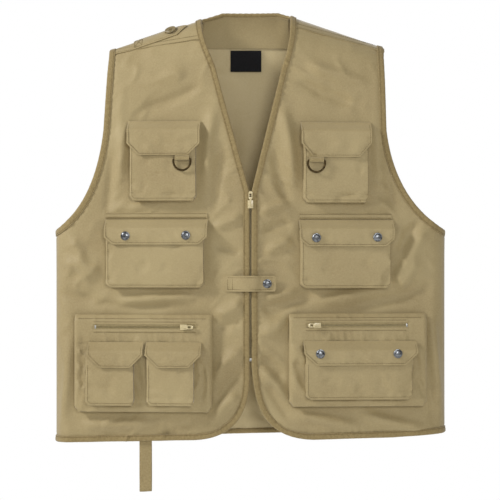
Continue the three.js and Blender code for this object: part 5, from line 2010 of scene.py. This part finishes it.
class VestStage(bpy.types.PropertyGroup):
    camera_distance: bpy.props.FloatProperty(
        name="Camera Distance", description="From the lens to the vest's front",
        default=3.0, min=0.5, unit="LENGTH")
    frame_width: bpy.props.FloatProperty(
        name="Frame Width", description="Width of the picture at the vest's front",
        default=0.8065, min=0.1, unit="LENGTH")
    key_power: bpy.props.FloatProperty(
        name="Key Power", description="Light from the upper left", default=57.0, min=0.0,
        unit="POWER")
    fill_power: bpy.props.FloatProperty(
        name="Fill Power", description="Light from the front", default=34.0, min=0.0,
        unit="POWER")
    back_power: bpy.props.FloatProperty(
        name="Back Power", description="Light from behind and above", default=30.0, min=0.0,
        unit="POWER")
    ambient: bpy.props.FloatProperty(
        name="Ambient", description="Even light from all round", default=0.34, min=0.0)


class VEST_OT_materials(bpy.types.Operator):
    """Make the vest's materials"""

    bl_idname = "vest.materials"
    bl_label = "Materials"

    def execute(self, context):
        make_materials(context.scene.vest_colours)
        return {"FINISHED"}


class VEST_OT_back(bpy.types.Operator):
    """Build the back with its yokes, bindings, neck facing and label"""

    bl_idname = "vest.back"
    bl_label = "Back and Neck"

    def execute(self, context):
        make_back()
        make_neck()
        return {"FINISHED"}


class VEST_OT_fronts(bpy.types.Operator):
    """Build the two fronts and their bindings"""

    bl_idname = "vest.fronts"
    bl_label = "Fronts"

    def execute(self, context):
        for part in FRONTS:
            make_front(part)
        return {"FINISHED"}


class VEST_OT_pockets(bpy.types.Operator):
    """Build the pockets, their flaps and their zips"""

    bl_idname = "vest.pockets"
    bl_label = "Pockets"

    def execute(self, context):
        for part in FRONTS:
            make_pockets(part)
        return {"FINISHED"}


class VEST_OT_main_zip(bpy.types.Operator):
    """Build the main zip, and the sliders and pulls of all three zips"""

    bl_idname = "vest.main_zip"
    bl_label = "Zips"

    def execute(self, context):
        make_main_zip()
        make_sliders()
        return {"FINISHED"}


class VEST_OT_snaps(bpy.types.Operator):
    """Build the snaps and the tab over the main zip"""

    bl_idname = "vest.snaps"
    bl_label = "Snaps and Tab"

    def execute(self, context):
        make_tab()
        make_snaps()
        return {"FINISHED"}


class VEST_OT_rings(bpy.types.Operator):
    """Build the D-rings on their webbing, and the loop at the hem"""

    bl_idname = "vest.rings"
    bl_label = "Rings and Loop"

    def execute(self, context):
        make_rings()
        make_hem_loop()
        return {"FINISHED"}


class VEST_OT_strap(bpy.types.Operator):
    """Build the shoulder strap and its button"""

    bl_idname = "vest.strap"
    bl_label = "Shoulder Strap"

    def execute(self, context):
        make_strap()
        make_button()
        return {"FINISHED"}


class VEST_OT_threads(bpy.types.Operator):
    """Sew the topstitching that the other pieces have laid out"""

    bl_idname = "vest.threads"
    bl_label = "Topstitching"

    def execute(self, context):
        make_threads()
        return {"FINISHED"}


class VEST_OT_stage(bpy.types.Operator):
    """Set up the camera, the lights, the floor and the world"""

    bl_idname = "vest.stage"
    bl_label = "Stage"

    def execute(self, context):
        make_stage(context.scene.vest_stage)
        return {"FINISHED"}


class VEST_PT_panel(bpy.types.Panel):
    """Builds the vest step by step"""

    bl_idname = "VEST_PT_panel"
    bl_label = "Fishing Vest"
    bl_space_type = "VIEW_3D"
    bl_region_type = "UI"
    bl_category = "Vest"

    def draw(self, context):
        layout = self.layout
        for operator in OPERATORS:
            layout.operator(operator.bl_idname)
        for group in (context.scene.vest_colours, context.scene.vest_stage):
            for name in type(group).__annotations__:
                layout.prop(group, name)


OPERATORS = (VEST_OT_materials, VEST_OT_back, VEST_OT_fronts, VEST_OT_pockets, VEST_OT_main_zip,
             VEST_OT_snaps, VEST_OT_rings, VEST_OT_strap, VEST_OT_threads, VEST_OT_stage)
CLASSES = (VestColours, VestStage, *OPERATORS, VEST_PT_panel)


def register():
    for cls in CLASSES:
        bpy.utils.register_class(cls)
    bpy.types.Scene.vest_colours = bpy.props.PointerProperty(type=VestColours)
    bpy.types.Scene.vest_stage = bpy.props.PointerProperty(type=VestStage)


def unregister():
    del bpy.types.Scene.vest_stage
    del bpy.types.Scene.vest_colours
    for cls in reversed(CLASSES):
        bpy.utils.unregister_class(cls)


def main():
    register()
    bpy.ops.vest.materials()
    bpy.ops.vest.back()
    bpy.ops.vest.fronts()
    bpy.ops.vest.pockets()
    bpy.ops.vest.main_zip()
    bpy.ops.vest.snaps()
    bpy.ops.vest.rings()
    bpy.ops.vest.strap()
    bpy.ops.vest.threads()
    bpy.ops.vest.stage()


if __name__ == "__main__":
    main()
